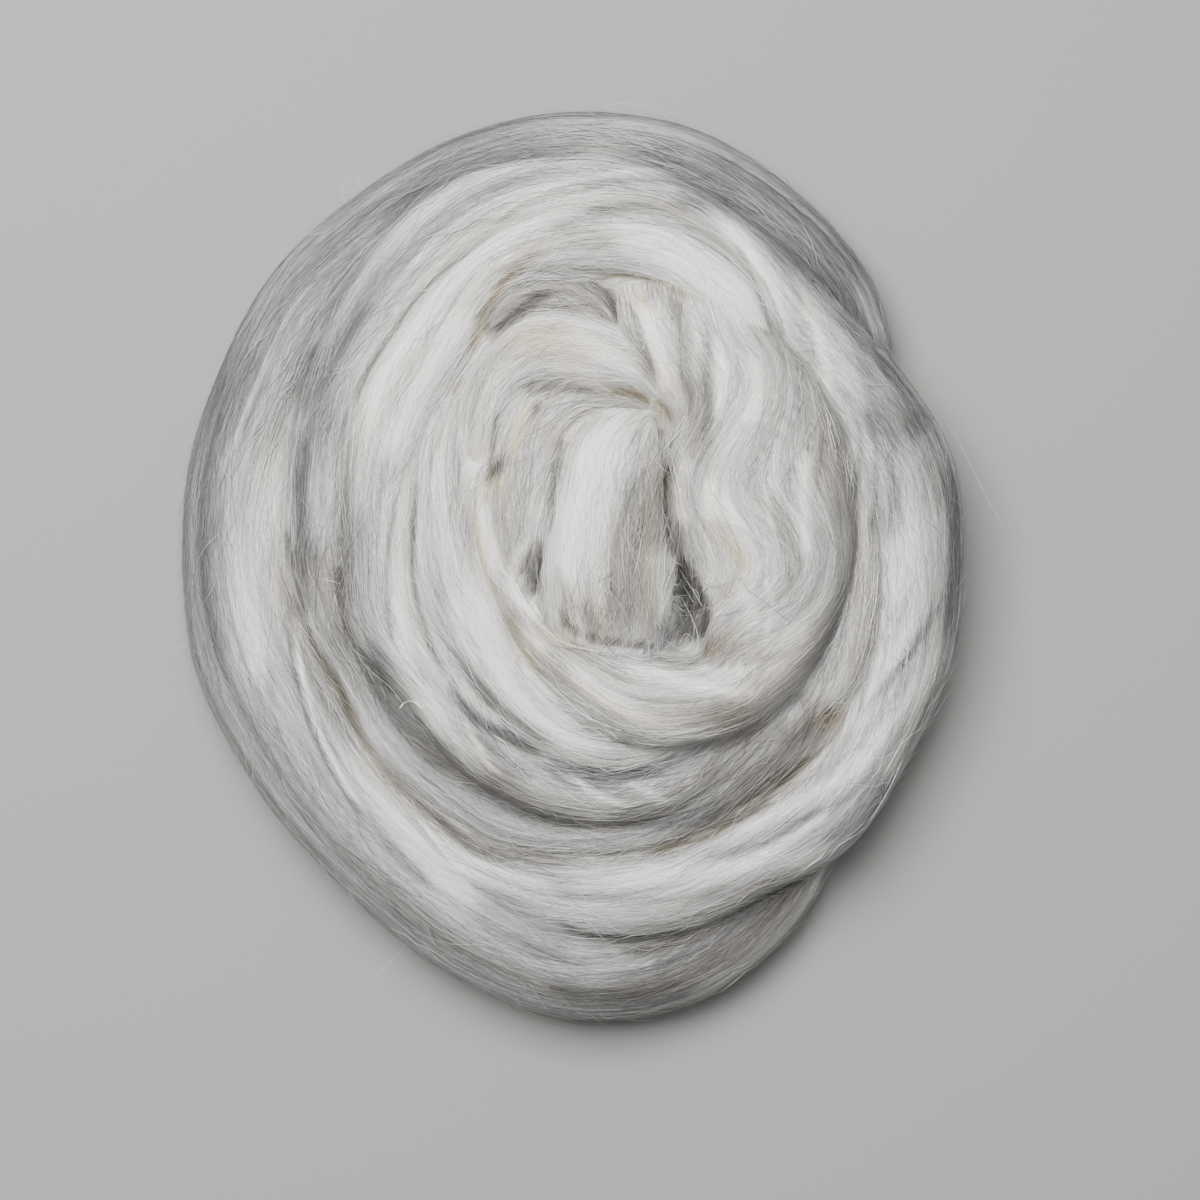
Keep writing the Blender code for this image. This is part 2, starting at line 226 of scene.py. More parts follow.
LOCKS_AND_PAINTED_SHADING = rows_of(
    Lock,
    # The rim's left side: whiter inside, with a bright thin ridge and a crease beside it, the
    # crease darkened as painted shade.
    (((285, 430), (262, 500), (252, 560), (255, 630), (270, 700)), 13, 0.6, 0.22, 0.1),
    (((345, 715), (375, 780), (415, 840), (450, 885), (490, 925)), 12, 0.6, 0.22, 0.1),
    (((278, 345), (262, 378), (245, 415), (233, 445), (222, 480)), 1.6, 0.3, 0.22, -0.2),
    (((292, 615), (300, 660), (311, 705), (325, 745), (350, 790), (380, 830)), 1.8, 0.7, 0.3),
    (((286, 610), (293, 655), (304, 705), (318, 745), (343, 790), (372, 830)), 1.4, -0.9, -0.3),
    (((345, 790), (375, 825), (405, 860), (435, 890)), 3, -0.4, -0.2, -0.3),
    (((268, 640), (272, 690), (276, 720), (290, 770)), 1.5, -0.3, -0.14),
    # The shade all round the nest's edge, where the wool turns down to the floor.
    (((640, 122), (560, 124), (480, 144), (395, 190), (318, 256), (257, 332), (216, 415),
      (203, 510), (208, 605), (230, 690), (272, 770), (335, 850), (412, 922), (492, 975),
      (570, 1003), (650, 1003), (725, 968), (785, 915)), 15, 0, -0.15),
    (((640, 122), (715, 140), (790, 192), (838, 252), (872, 322)), 12, 0, -0.08, -0.15),
    (((865, 322), (900, 372), (938, 435), (955, 500), (955, 570), (938, 650), (900, 725),
      (850, 800)), 15, 0, -0.16),
    # Soft shades and light patches, where the turns face away from the light or towards it.
    (((303, 425), (299, 480), (300, 530), (307, 585)), 8, 0, -0.24, -0.1),
    (((880, 395), (894, 450), (895, 500), (886, 545)), 10, 0, -0.25, 0.1),
    (((680, 560), (688, 582), (700, 607), (699, 626), (690, 646)), 5.4, -2.4, -0.5, 0.1),
    (((240, 330), (214, 415), (206, 510), (210, 605), (228, 690)), 10, 0, -0.13),
    (((301, 465), (301, 510), (304, 560)), 5, -0.6, -0.22),
    (((345, 470), (343, 540), (342, 610), (352, 670)), 8, 0, -0.12),
    (((905, 405), (926, 465), (934, 520)), 9, 0, -0.14),
    (((440, 800), (500, 845), (570, 860), (640, 850)), 12, 0, -0.12),
    (((470, 885), (530, 900), (590, 890)), 9, 0, -0.08),
    (((505, 662), (530, 698), (560, 724)), 4, -0.4, -0.2),
    (((552, 560), (572, 600), (592, 622), (620, 628)), 7, 0, -0.12, 0.1),
    (((655, 545), (664, 585), (664, 625)), 7, 0, 0.24),
    (((300, 545), (302, 580), (306, 620)), 7, -0.3, -0.2, 0.1),
    (((332, 350), (326, 400), (330, 450)), 9, 0, -0.09, -0.1),
    (((262, 350), (246, 400), (240, 440)), 9, 0, -0.1, -0.1),
    (((700, 560), (712, 575), (722, 590)), 6, 0, 0.14),
    (((560, 600), (580, 612), (600, 616)), 6, 0, -0.1, 0.1),
    (((705, 735), (760, 728), (800, 700), (825, 672)), 9, 0, 0.12),
    (((552, 722), (575, 734), (598, 740)), 6, 0, -0.12),
    (((466, 425), (472, 446), (477, 468)), 5, 0, 0.14),
    (((462, 462), (466, 478), (474, 492)), 4, 0, -0.1),
    (((670, 722), (705, 730), (728, 724)), 7, 0, 0.14),
    (((735, 698), (765, 684), (790, 656), (808, 622)), 8, 0, 0.2),
    (((512, 640), (528, 656), (542, 670)), 6, 0, 0.14, 0.1),
    (((672, 192), (705, 206), (732, 226)), 8, 0, -0.22),
    (((318, 340), (303, 375), (297, 420)), 6.5, 0, -0.18, -0.1),
    (((372, 300), (350, 330), (336, 362)), 7, 0, -0.12, -0.1),
    (((650, 286), (668, 298), (682, 316)), 6.5, 0, -0.16, 0.2),
    (((552, 358), (580, 364), (606, 374)), 6, 0.2, 0.15, 0.1),
    (((652, 402), (664, 412), (674, 426)), 6, 0, -0.16, 0.2),
    (((872, 385), (890, 425), (898, 480), (896, 530)), 8, 0, -0.07),
    (((712, 436), (704, 456), (696, 470)), 6, 0, -0.12, 0.1),
    (((468, 678), (482, 694), (498, 708)), 5, 0, -0.14),
    (((462, 758), (484, 774), (506, 786)), 7, 0, -0.12),
    (((778, 738), (800, 728), (816, 714)), 8, 0, -0.12, 0.1),
    (((735, 800), (755, 808), (775, 800)), 8, 0, -0.12, 0.1),
    (((836, 385), (846, 415), (846, 445)), 7, 0, -0.1),
    (((545, 765), (575, 778), (610, 782)), 7, 0, -0.1),
    (((470, 280), (492, 300), (520, 285)), 6, 0, 0.1, 0.1),
    (((640, 356), (662, 372), (690, 380)), 7, 0, -0.1, 0.1),
    (((666, 462), (668, 484), (668, 510), (671, 540), (675, 565)), 2.4, -1.4, -0.4, 0.1),
    (((372, 640), (392, 690), (425, 740), (465, 772)), 9, 0, -0.22),
    (((700, 840), (740, 818), (782, 786), (815, 755)), 5, -0.3, -0.16, 0.3),
    (((400, 235), (350, 300), (324, 375), (314, 450), (313, 520)), 12, 0, -0.12, -0.3),
    (((305, 530), (318, 580), (332, 630), (355, 680), (390, 730)), 15, 0, -0.13, 0.3),
    (((455, 712), (488, 754), (530, 788)), 9, 0, -0.14),
    (((590, 806), (660, 812), (720, 802), (775, 785)), 14, 0, -0.1),
    # The grooves where the second turn lies on the rim, darkened grey as painted shade.
    (((287, 528), (288, 548), (293, 575)), 2.2, -0.8, -0.3, 0.4),
    (((293, 570), (302, 615), (316, 650), (335, 690)), 3, -0.7, -0.24, 0.2),
    (((318, 625), (340, 690), (366, 745), (400, 785), (440, 820), (480, 850), (545, 868)), 3.4, -1,
      -0.32, 0.3),
    (((600, 148), (560, 150), (515, 156), (470, 168), (425, 190), (395, 215), (372, 245)), 5, -0.8,
      -0.24, -0.1),
    (((372, 245), (352, 272), (334, 305), (316, 345), (305, 390), (297, 440), (292, 510)), 5, -0.4,
      -0.12),
    (((560, 130), (480, 145), (400, 185), (340, 235), (290, 300)), 8, 0, -0.06, -0.3),
    (((480, 175), (420, 210), (370, 262), (335, 325), (318, 400)), 12, 0, -0.02, -0.3),
    (((600, 135), (690, 150), (780, 200), (850, 290)), 14, 0, 0, -0.1),
    (((600, 128), (660, 132), (740, 165), (800, 210), (840, 255)), 4, 0.2, 0.08, -0.3),
    (((600, 150), (660, 163), (705, 183), (745, 212), (785, 248), (825, 285), (865, 335)), 8.5,
      -0.9, -0.26, -0.2),
    (((690, 150), (760, 190), (820, 240), (860, 300)), 11, 0, -0.11, -0.05),
    (((828, 272), (850, 300), (875, 345), (890, 390)), 2.2, -0.6, -0.25, -0.1),
    # The second turn, up its left side: grey outside, then blue-white, then the white band;
    # the creases between its locks are darkened as painted shade.
    (((455, 188), (405, 225), (370, 268), (347, 310), (330, 355)), 3.5, 0.3, 0.14, -0.4),
    (((560, 160), (510, 166), (470, 178), (430, 203), (395, 238)), 3, 0.2, 0.16, -0.4),
    (((560, 172), (500, 190), (450, 220), (410, 255), (375, 300), (347, 345), (326, 385)), 3.2,
      -0.3, -0.17, -0.3),
    (((335, 360), (322, 400), (315, 440), (312, 480)), 7, -0.2, -0.1, -0.4),
    (((315, 440), (312, 475), (308, 505)), 1.4, 0.4, 0.2, -0.3),
    (((350, 430), (344, 500), (343, 560), (352, 620)), 5, -0.5, -0.16),
    (((600, 165), (545, 190), (485, 225), (432, 270), (392, 320)), 3, 0.2, 0.1, 0.1),
    (((600, 178), (560, 190), (520, 207), (495, 226)), 1.2, -0.4, -0.2, 0.2),
    (((503, 228), (465, 255), (438, 277), (414, 303), (393, 333), (373, 362), (360, 390),
      (352, 412)), 1.7, -0.7, -0.34),
    (((640, 196), (590, 202), (545, 218), (500, 242), (468, 268), (440, 297), (415, 328),
      (395, 355), (378, 388), (366, 420), (357, 460)), 6, 0.6, 0.28, -0.05),
    (((432, 332), (405, 365), (385, 400), (370, 432), (358, 460)), 1.3, 0.3, 0.14, 0.5),
    (((480, 300), (448, 340), (420, 385), (398, 430), (386, 470)), 8, 0.5, 0.26),
    (((680, 172), (640, 170), (600, 176), (560, 188)), 1.8, 0.3, 0.18, 0.1),
    (((690, 185), (640, 180), (600, 186), (570, 195)), 1.2, -0.4, -0.2, 0.2),
    (((700, 212), (650, 205), (610, 208), (580, 216)), 3, -0.5, -0.16, 0.1),
    (((700, 205), (728, 225), (752, 258), (770, 295), (788, 345)), 5.5, 0.7, 0.28),
    (((733, 235), (751, 272), (764, 308), (776, 342)), 1.4, -0.8, -0.3, 0.1),
    (((765, 240), (790, 280), (805, 330), (815, 385)), 5, -0.2, -0.1, 0.2),
    (((800, 288), (816, 328), (826, 368), (832, 405)), 2.6, 0.4, 0.2, 0.35),
    (((840, 300), (862, 350), (872, 400), (875, 450)), 7, -0.3, -0.2, -0.3),
    # The crown turn: the white arch over the heart and the blue-grey left side, with a painted
    # shadow under the arch and painted shade in its creases.
    (((600, 228), (660, 240), (705, 268), (738, 295), (768, 330)), 12, 0.7, 0.26),
    (((640, 255), (690, 270), (730, 300), (752, 325)), 5, 0.3, 0.12),
    (((545, 222), (580, 235), (625, 250)), 7, -0.3, -0.12, 0.15),
    (((548, 240), (525, 262), (505, 282), (488, 305), (478, 335), (466, 370)), 3.4, -0.5, -0.14,
      0.9),
    (((530, 272), (560, 268), (600, 268), (640, 268)), 1.6, -0.3, -0.14, 0.4),
    (((560, 291), (538, 298), (520, 311), (504, 326), (490, 345)), 3.2, -1.4, -0.42, 0.2),
    (((470, 360), (452, 400), (440, 440), (428, 480)), 1.3, -0.4, -0.16, 0.3),
    (((457, 400), (446, 430), (437, 465), (430, 500)), 1.5, 0.3, 0.16, 0.5),
    (((362, 490), (358, 540), (361, 590), (372, 640), (395, 690)), 7, -0.3, -0.2, -0.4),
    (((398, 488), (391, 530), (387, 570), (388, 615), (396, 650)), 1.5, -0.7, -0.3),
    (((410, 470), (400, 520), (400, 580), (404, 635), (414, 680)), 4.5, 0.5, 0.24, 0.05),
    (((418, 470), (413, 520), (413, 570), (419, 608), (431, 645), (446, 680)), 2, -1, -0.4, 0.1),
    (((446, 680), (465, 706), (483, 724), (512, 738), (545, 757)), 3.2, -1.2, -0.45),
    (((414, 680), (440, 722), (466, 752), (492, 782)), 6, 0.6, 0.22),
    (((462, 713), (474, 738), (490, 765), (505, 780)), 1.8, 0.6, 0.32, 0.3),
    (((350, 650), (375, 685), (410, 732), (452, 772), (505, 800), (565, 820), (640, 828)), 8, -0.5,
      -0.18),
    (((565, 772), (590, 790), (612, 802), (632, 806)), 2, 0.6, 0.34),
    (((625, 780), (648, 793), (672, 804)), 2, 0.5, 0.3),
    (((545, 757), (590, 770), (640, 776), (700, 764), (735, 748)), 3.5, -0.3, -0.12, -0.1),
    (((500, 745), (530, 770), (560, 790)), 4, 0.3, 0.1),
    # The inner turn: blue-grey, a soft white edge and the broad white band, with its creases
    # darkened as painted shade.
    (((436, 560), (440, 620), (452, 670), (466, 690)), 5, -0.2, -0.08, -0.4),
    (((452, 590), (462, 630), (480, 668)), 3.5, 0.4, 0.2),
    (((452, 640), (470, 675), (495, 705), (528, 730), (560, 748)), 4.2, -0.7, -0.3, -0.1),
    (((478, 520), (480, 580), (490, 635), (510, 680), (540, 714), (575, 740), (620, 757)), 8, 0.8,
      0.3, 0.05),
    (((555, 700), (578, 722), (605, 738), (640, 745)), 1.6, -0.5, -0.24),
    (((450, 380), (455, 440), (462, 490)), 8, 0.3, 0.1),
    # The heart turn: a painted shadow under the arch's edge, streaks under the arch, the sweep
    # to the crease, broad patches of painted shade, and the right side darkened grey as painted
    # shade.
    (((585, 285), (606, 277), (626, 275), (650, 280), (680, 291), (712, 305)), 2.2, -0.4, -0.16,
      0.8),
    (((600, 284), (614, 310), (632, 340), (650, 368), (668, 398)), 3.4, -0.3, -0.2, 0.1),
    (((598, 290), (612, 320), (630, 350)), 2.4, 0.3, 0.12, -0.2),
    (((634, 284), (640, 300), (644, 318)), 4, 0.2, 0.12, 0.6),
    (((645, 300), (653, 330), (661, 365), (668, 395)), 5, 0.6, 0.36),
    (((628, 300), (642, 340), (656, 372)), 1.6, -0.5, -0.3, 0.1),
    (((668, 288), (678, 320), (685, 355), (690, 400), (688, 430)), 4, -0.6, -0.26, 0.15),
    (((703, 310), (708, 350), (707, 385), (708, 420), (700, 445)), 3.4, -0.7, -0.32, 0.15),
    (((700, 330), (700, 360)), 2.4, 0.3, 0.14, -0.2),
    (((716, 335), (722, 365), (722, 395), (716, 420)), 2.6, 0.4, 0.24, -0.3),
    (((752, 355), (757, 382), (755, 405), (744, 428)), 3.4, 0.5, 0.3, 0.15),
    (((735, 340), (742, 370), (740, 400)), 3, -0.1, -0.08),
    (((789, 372), (800, 402), (782, 432), (760, 456), (744, 484)), 1.3, -0.5, -0.2),
    (((813, 400), (810, 440), (794, 468), (786, 505)), 1.4, -0.5, -0.22),
    (((826, 430), (822, 460), (813, 500)), 1.8, -0.5, -0.24),
    (((802, 445), (803, 490), (806, 530), (808, 560)), 4.4, 0.5, 0.26, -0.1),
    (((770, 475), (768, 505), (772, 535)), 2.6, 0.3, 0.18),
    (((692, 455), (681, 480), (680, 505), (687, 528)), 4, 0.5, 0.3),
    (((712, 478), (709, 500), (713, 522)), 3.8, 0.4, 0.32, 0.1),
    (((724, 492), (730, 510), (740, 528)), 2.8, 0.3, 0.24),
    (((706, 520), (720, 538), (738, 556), (750, 570)), 6.5, 0, 0.02, 0.45),
    (((774, 515), (783, 545), (790, 575), (792, 600)), 1.8, -0.4, -0.18),
    (((838, 465), (836, 520), (838, 570), (838, 610), (828, 645), (806, 678)), 6.5, -0.2, -0.1,
      -0.25),
    (((700, 644), (728, 655), (772, 650)), 9, 0, -0.15, 0.2),
    (((690, 370), (702, 410), (692, 455)), 9, 0, -0.16, 0.15),
    (((745, 590), (752, 612), (748, 632)), 5, 0.3, 0.2),
    (((765, 575), (772, 605), (765, 635)), 3, 0.3, 0.16),
    (((700, 555), (716, 580), (732, 602)), 4, -0.2, -0.1),
    (((700, 654), (718, 645), (738, 636)), 6, 0, -0.05, 0.5),
    (((615, 662), (660, 675), (710, 688), (762, 695)), 4.6, 0.6, 0.3),
    (((690, 666), (740, 671), (792, 663)), 3.4, 0.4, 0.22, -0.1),
    (((568, 662), (590, 690), (622, 708), (655, 726), (690, 733)), 7, 0.6, 0.3),
    (((560, 648), (600, 668), (640, 690)), 3, -0.3, -0.14, 0.1),
    (((506, 604), (515, 632), (530, 658), (545, 680)), 4.4, -0.2, -0.06, 0.6),
    (((524, 628), (535, 640), (548, 652)), 3.4, 0.3, 0.26),
    (((620, 735), (660, 746), (700, 745), (742, 732)), 3.6, 0, -0.06, -0.1),
    (((640, 655), (680, 663), (730, 666), (785, 662)), 1.2, -0.4, -0.2, 0.1),
    # The lobes: white where they face up, partly painted light, and brown-grey at the left
    # lobe's right-hand side, partly painted shade, with their creases darkened as painted shade.
    (((565, 328), (590, 342), (615, 358), (645, 380)), 6, 0.6, 0.3),
    (((500, 345), (540, 330), (575, 330)), 7, 0.3, 0.12, 0.35),
    (((505, 365), (550, 355), (600, 366)), 3, -0.2, -0.08),
    (((518, 392), (545, 387), (575, 388), (605, 394)), 3, -0.9, -0.34, 0.15),
    (((600, 393), (630, 393), (655, 403), (672, 420)), 3.2, -0.6, -0.14, 0.6),
    (((635, 430), (603, 460), (584, 500), (572, 545), (568, 590)), 14, 0.5, 0.2, -0.35),
    (((640, 418), (600, 440), (580, 470)), 5, 0.3, 0.14),
    (((668, 426), (652, 444), (636, 462)), 1.6, -0.4, -0.2),
    (((662, 450), (652, 500), (640, 550), (634, 600), (634, 640)), 15, -0.3, -0.26, 0.25),
    (((640, 470), (622, 520), (612, 570), (608, 630)), 3.5, -0.2, -0.14, 0.1),
    (((669, 545), (676, 580), (675, 612), (668, 635)), 2.6, 0.5, 0.34),
    (((590, 590), (596, 620), (598, 638)), 4.5, 0, 0, 0.3),
    (((520, 345), (560, 352), (590, 370)), 9, 0, 0, 0.35),
    (((545, 420), (555, 450)), 6, 0, 0, 0.3),
    (((590, 650), (560, 640), (530, 625)), 4, 0, 0, 0.5),
    (((563, 436), (557, 465), (551, 500), (547, 545)), 2.2, -1.2, -0.36),
    (((558, 612), (568, 626), (582, 636)), 3, -1.2, -0.45, 0.3),
    (((575, 634), (605, 641), (640, 646), (668, 648)), 2.4, -0.8, -0.36, 0.2),
    # The left-hand pockets, darkened as painted shade, the cream wool between them and the
    # thin strand that turns there.
    (((528, 404), (518, 430), (513, 460)), 4, 0.3, 0.2, 0.5),
    (((539, 400), (534, 418)), 2.2, -0.8, -0.35, 0.5),
    (((498, 408), (493, 440), (492, 455)), 1.8, -0.6, -0.3, 0.3),
    (((486, 482), (494, 469), (503, 459)), 3.2, -2, -0.58, 0.4),
    (((484, 500), (492, 490), (504, 478)), 7, 0.3, 0.1, 0.75),
    (((480, 505), (484, 530), (492, 552), (501, 572)), 4.2, 0.6, 0.34),
    (((476, 500), (479, 540), (487, 572), (500, 602)), 1.8, -0.3, -0.1, 1),
    (((542, 540), (534, 560), (531, 580), (536, 599)), 4.2, -3, -0.55, 0.1),
    (((536, 536), (519, 557), (512, 582), (521, 604), (546, 619)), 3, 0.9, 0.3, 0.05),
    # Broad painted shade over the lower turns.
    (((365, 690), (430, 760), (520, 800), (610, 812), (700, 800), (780, 765), (835, 715)), 26, 0,
      -0.17, 0.1),
    (((430, 680), (490, 745), (570, 780), (650, 785), (720, 770)), 14, 0, -0.09),
    # The lower right: the grey-beige fold and its brown creases, both darkened as painted shade,
    # the white wool round it, and broad painted shade along the bottom.
    (((700, 715), (760, 740), (810, 725), (835, 700)), 12, -0.2, -0.16, 0.25),
    (((690, 770), (740, 775), (790, 760)), 8, -0.2, -0.12, 0.15),
    (((810, 726), (828, 722), (843, 715)), 4, 0, 0.06, 0.6),
    (((850, 700), (840, 730), (825, 748), (802, 766), (782, 785), (758, 802)), 1.8, -0.9, -0.3,
      0.4),
    (((640, 853), (680, 843), (712, 832), (742, 815)), 2, -0.5, -0.3, 1),
    (((600, 818), (650, 824), (695, 820), (740, 806)), 6, -0.3, -0.16),
    (((858, 690), (845, 725), (822, 757), (790, 782), (755, 803), (700, 828)), 3.6, 0.5, 0.22),
    (((915, 610), (892, 665), (868, 705), (848, 735)), 4, 0.5, 0.2),
    (((945, 590), (925, 632), (900, 668), (875, 698), (850, 728)), 2.6, -0.9, -0.3),
    (((940, 640), (905, 705), (860, 762), (812, 796), (760, 822), (700, 842)), 5.5, 0.6, 0.26),
    (((880, 765), (842, 802), (800, 822), (768, 842), (735, 853), (700, 858)), 2.6, -0.6, -0.26,
      -0.1),
    (((800, 845), (740, 865), (680, 874), (610, 870), (550, 862)), 7, 0.5, 0.22, -0.25),
    (((840, 800), (780, 850), (720, 880)), 3, 0.2, 0.1, -0.2),
    (((740, 885), (680, 900), (600, 900), (540, 880)), 4, -0.2, -0.12, 0.1),
    (((556, 922), (590, 935), (640, 937), (700, 928)), 1.8, -0.8, -0.34, 0.1),
    (((890, 770), (865, 810), (820, 848)), 6, -0.3, -0.2, -0.2),
    (((560, 950), (620, 960), (660, 965)), 7, 0.3, 0.14),
    (((600, 960), (660, 962), (720, 945), (770, 905), (800, 865)), 22, 0, -0.16, 0.15),
    (((540, 985), (620, 1000), (700, 990)), 7, -0.2, -0.14),
    # The right side: grey at the edge as painted shade, cream-grey inside it, with its creases
    # darkened as painted shade.
    (((853, 412), (861, 440), (858, 475), (852, 505)), 1.8, -0.6, -0.32, 0.1),
    (((868, 410), (876, 450), (876, 500), (868, 550)), 2, -0.5, -0.2, 0.1),
    (((865, 520), (862, 580), (860, 640), (850, 690)), 6, 0, -0.06, 0.25),
    (((898, 440), (905, 500), (903, 560), (892, 620)), 6, 0.3, 0.14),
    (((945, 450), (955, 520), (952, 590), (942, 650)), 6, -0.2, -0.2, -0.2),
    (((885, 350), (905, 400), (925, 440)), 6, -0.3, -0.2, -0.1),
)

HAIRS = rows_of(
    Hair,
    # A curly white one on the lower left, and dark ones over the heart and the left side.
    (((400, 708), (404, 703), (411, 701), (417, 704), (422, 708), (427, 705), (433, 710)), 0.14, 1),
    (((704, 583), (715, 587), (728, 583), (740, 578), (748, 590), (762, 600), (790, 622)), 0.06,
      0.1),
    (((560, 612), (585, 604), (612, 610), (640, 600)), 0.05, 0.2),
    (((386, 716), (381, 735), (388, 753), (405, 763)), 0.05, 0.3),
    (((440, 655), (452, 676), (448, 694), (458, 708)), 0.05, 0.3),
    # Curls in the hollow, and hairs that stand past the nest's edge.
    (((686, 606), (692, 618), (697, 632), (698, 647), (692, 658)), 0.06, 0.72),
    (((682, 598), (689, 612), (694, 627), (692, 643), (685, 654)), 0.05, 0.66),
    (((680, 643), (685, 634), (692, 638), (693, 650), (688, 659)), 0.05, 0.66),
    (((675, 560), (683, 575), (694, 592), (702, 606)), 0.05, 0.66),
    (((677, 574), (686, 590), (694, 603)), 0.045, 0.6),
    (((689, 587), (697, 592), (699, 600), (693, 606)), 0.04, 0.6),
    (((356, 214), (346, 202), (342, 188), (347, 177), (356, 176), (359, 184), (352, 192)), 0.05,
      0.5, 20),
    (((948, 425), (960, 444), (974, 472), (988, 500), (1002, 524)), 0.05, 0.5, 26),
    (((200, 655), (186, 648), (168, 640), (150, 626)), 0.05, 0.5, 20),
    (((412, 940), (400, 952), (388, 964), (372, 982)), 0.05, 0.5, 18),
    (((590, 114), (606, 106), (626, 103), (648, 108)), 0.05, 0.5, 20),
)

# The open hollow at the heart, where the bedding is pressed down.
HOLLOW = Lock(((650, 415), (662, 455), (668, 500), (674, 545), (686, 590), (692, 640)), 13, -20, 0)

# Steps from one point of a lock's path to the next; how far from the path it is looked for,
# in widths; the share of its length over which each end fades; and how strongly all the
# locks' tones and warmths count.
LOCK_STEPS = 6
LOCK_REACH = 1.1
LOCK_FADE = 0.2
LOCK_CONTRAST = 1.25
LOCK_WARMTH = 0.95


def linear(hex_colour: str) -> tuple[float, float, float, float]:
    """Turns an sRGB hex colour into the linear colour that a shader takes.

    Args:
        hex_colour: The colour as "#RRGGBB".

    Returns:
        Its linear red, green and blue, and an alpha of 1.
    """
    values = [int(hex_colour[i : i + 2], 16) / 255 for i in (1, 3, 5)]
    r, g, b = (v / 12.92 if v <= 0.04045 else ((v + 0.055) / 1.055) ** 2.4 for v in values)
    return (r, g, b, 1.0)


def eased(value: np.ndarray) -> np.ndarray:
    """Eases 0 to 1 with no kink at either end, as 3t squared less 2t cubed."""
    t = np.clip(value, 0.0, 1.0)
    return t * t * (3 - 2 * t)


def through(rows: np.ndarray, steps: int) -> np.ndarray:
    """Draws a smooth curve through rows of numbers, by the Catmull-Rom formula.

    Between two rows the curve leaves each in the direction of the line that joins
    the rows on either side of it.

    Args:
        rows: The rows, in order.
        steps: Steps from one row to the next.

    Returns:
        The rows of the curve, with the first and the last row kept.
    """
    last = len(rows) - 1
    u = np.linspace(0, last, last * steps + 1)
    i = np.minimum(np.floor(u).astype(int), last - 1)
    t = (u - i)[:, None]
    before, start = rows[np.maximum(i - 1, 0)], rows[i]
    end, after = rows[i + 1], rows[np.minimum(i + 2, last)]
    return 0.5 * (
        2 * start
        + (end - before) * t
        + (2 * before - 5 * start + 4 * end - after) * t**2
        + (3 * start - before - 3 * end + after) * t**3
    )


def in_photo(points: np.ndarray) -> np.ndarray:
    """Where the camera sees points: their offset from its axis over their distance.

    Args:
        points: Points in millimetres, with a last axis of three.

    Returns:
        Places in the photograph's 1200 by 1200 units, with a last axis of two.
    """
    scale = PHOTO_SCALE / (CAMERA_Z - points[..., 2])
    across = PHOTO_WIDE / 2 + (points[..., 0] - CAMERA_X) * scale
    down = PHOTO_WIDE / 2 - (points[..., 1] - CAMERA_Y) * scale
    return np.stack([across, down], axis=-1)


def lock_share(lock: Lock, places: np.ndarray) -> np.ndarray:
    """How much of a lock lies at each place: a bell across its path, eased at its ends.

    The bell is e to the minus square of twice the distance from the path in widths.

    Args:
        lock: The lock.
        places: Places in the photograph's units, one row each.

    Returns:
        Shares from 0 to 1.
    """
    path = through(np.array(lock.path, float), LOCK_STEPS)
    reach = lock.wide * PHOTO_PER_MM * LOCK_REACH
    low, high = path.min(axis=0) - reach, path.max(axis=0) + reach
    near = np.flatnonzero(((places > low) & (places < high)).all(axis=1))
    share = np.zeros(len(places))
    start, edge = path[:-1], np.diff(path, axis=0)
    size = np.maximum((edge**2).sum(axis=1), TINY)
    for first in range(0, len(near), BLOCK):
        rows = near[first : first + BLOCK]
        off = places[rows, None] - start
        t = np.clip((off * edge).sum(axis=-1) / size, 0, 1)
        away = np.hypot(*np.moveaxis(off - t[..., None] * edge, -1, 0)) / PHOTO_PER_MM
        nearest = away.argmin(axis=1)
        at = np.arange(len(rows))
        along = (nearest + t[at, nearest]) / len(edge)
        ends = eased(along / LOCK_FADE) * eased((1 - along) / LOCK_FADE)
        share[rows] = ends * np.exp(-((2 * away[at, nearest] / lock.wide) ** 2))
    return share


def placed_locks_and_shading(places: np.ndarray) -> tuple[np.ndarray, np.ndarray, np.ndarray]:
    """What all the placed locks, with their painted light and shade, together add at each place.

    Args:
        places: Places in the photograph's units, one row each.

    Returns:
        Their height in millimetres, their tone, painted light and shade included, and their warmth.
    """
    height, tone, warmth = np.zeros((3, len(places)))
    for lock in LOCKS_AND_PAINTED_SHADING:
        share = lock_share(lock, places)
        height += lock.lift * share
        tone += LOCK_CONTRAST * lock.tone * share
        warmth += LOCK_WARMTH * lock.warmth * share
    return height, tone, warmth


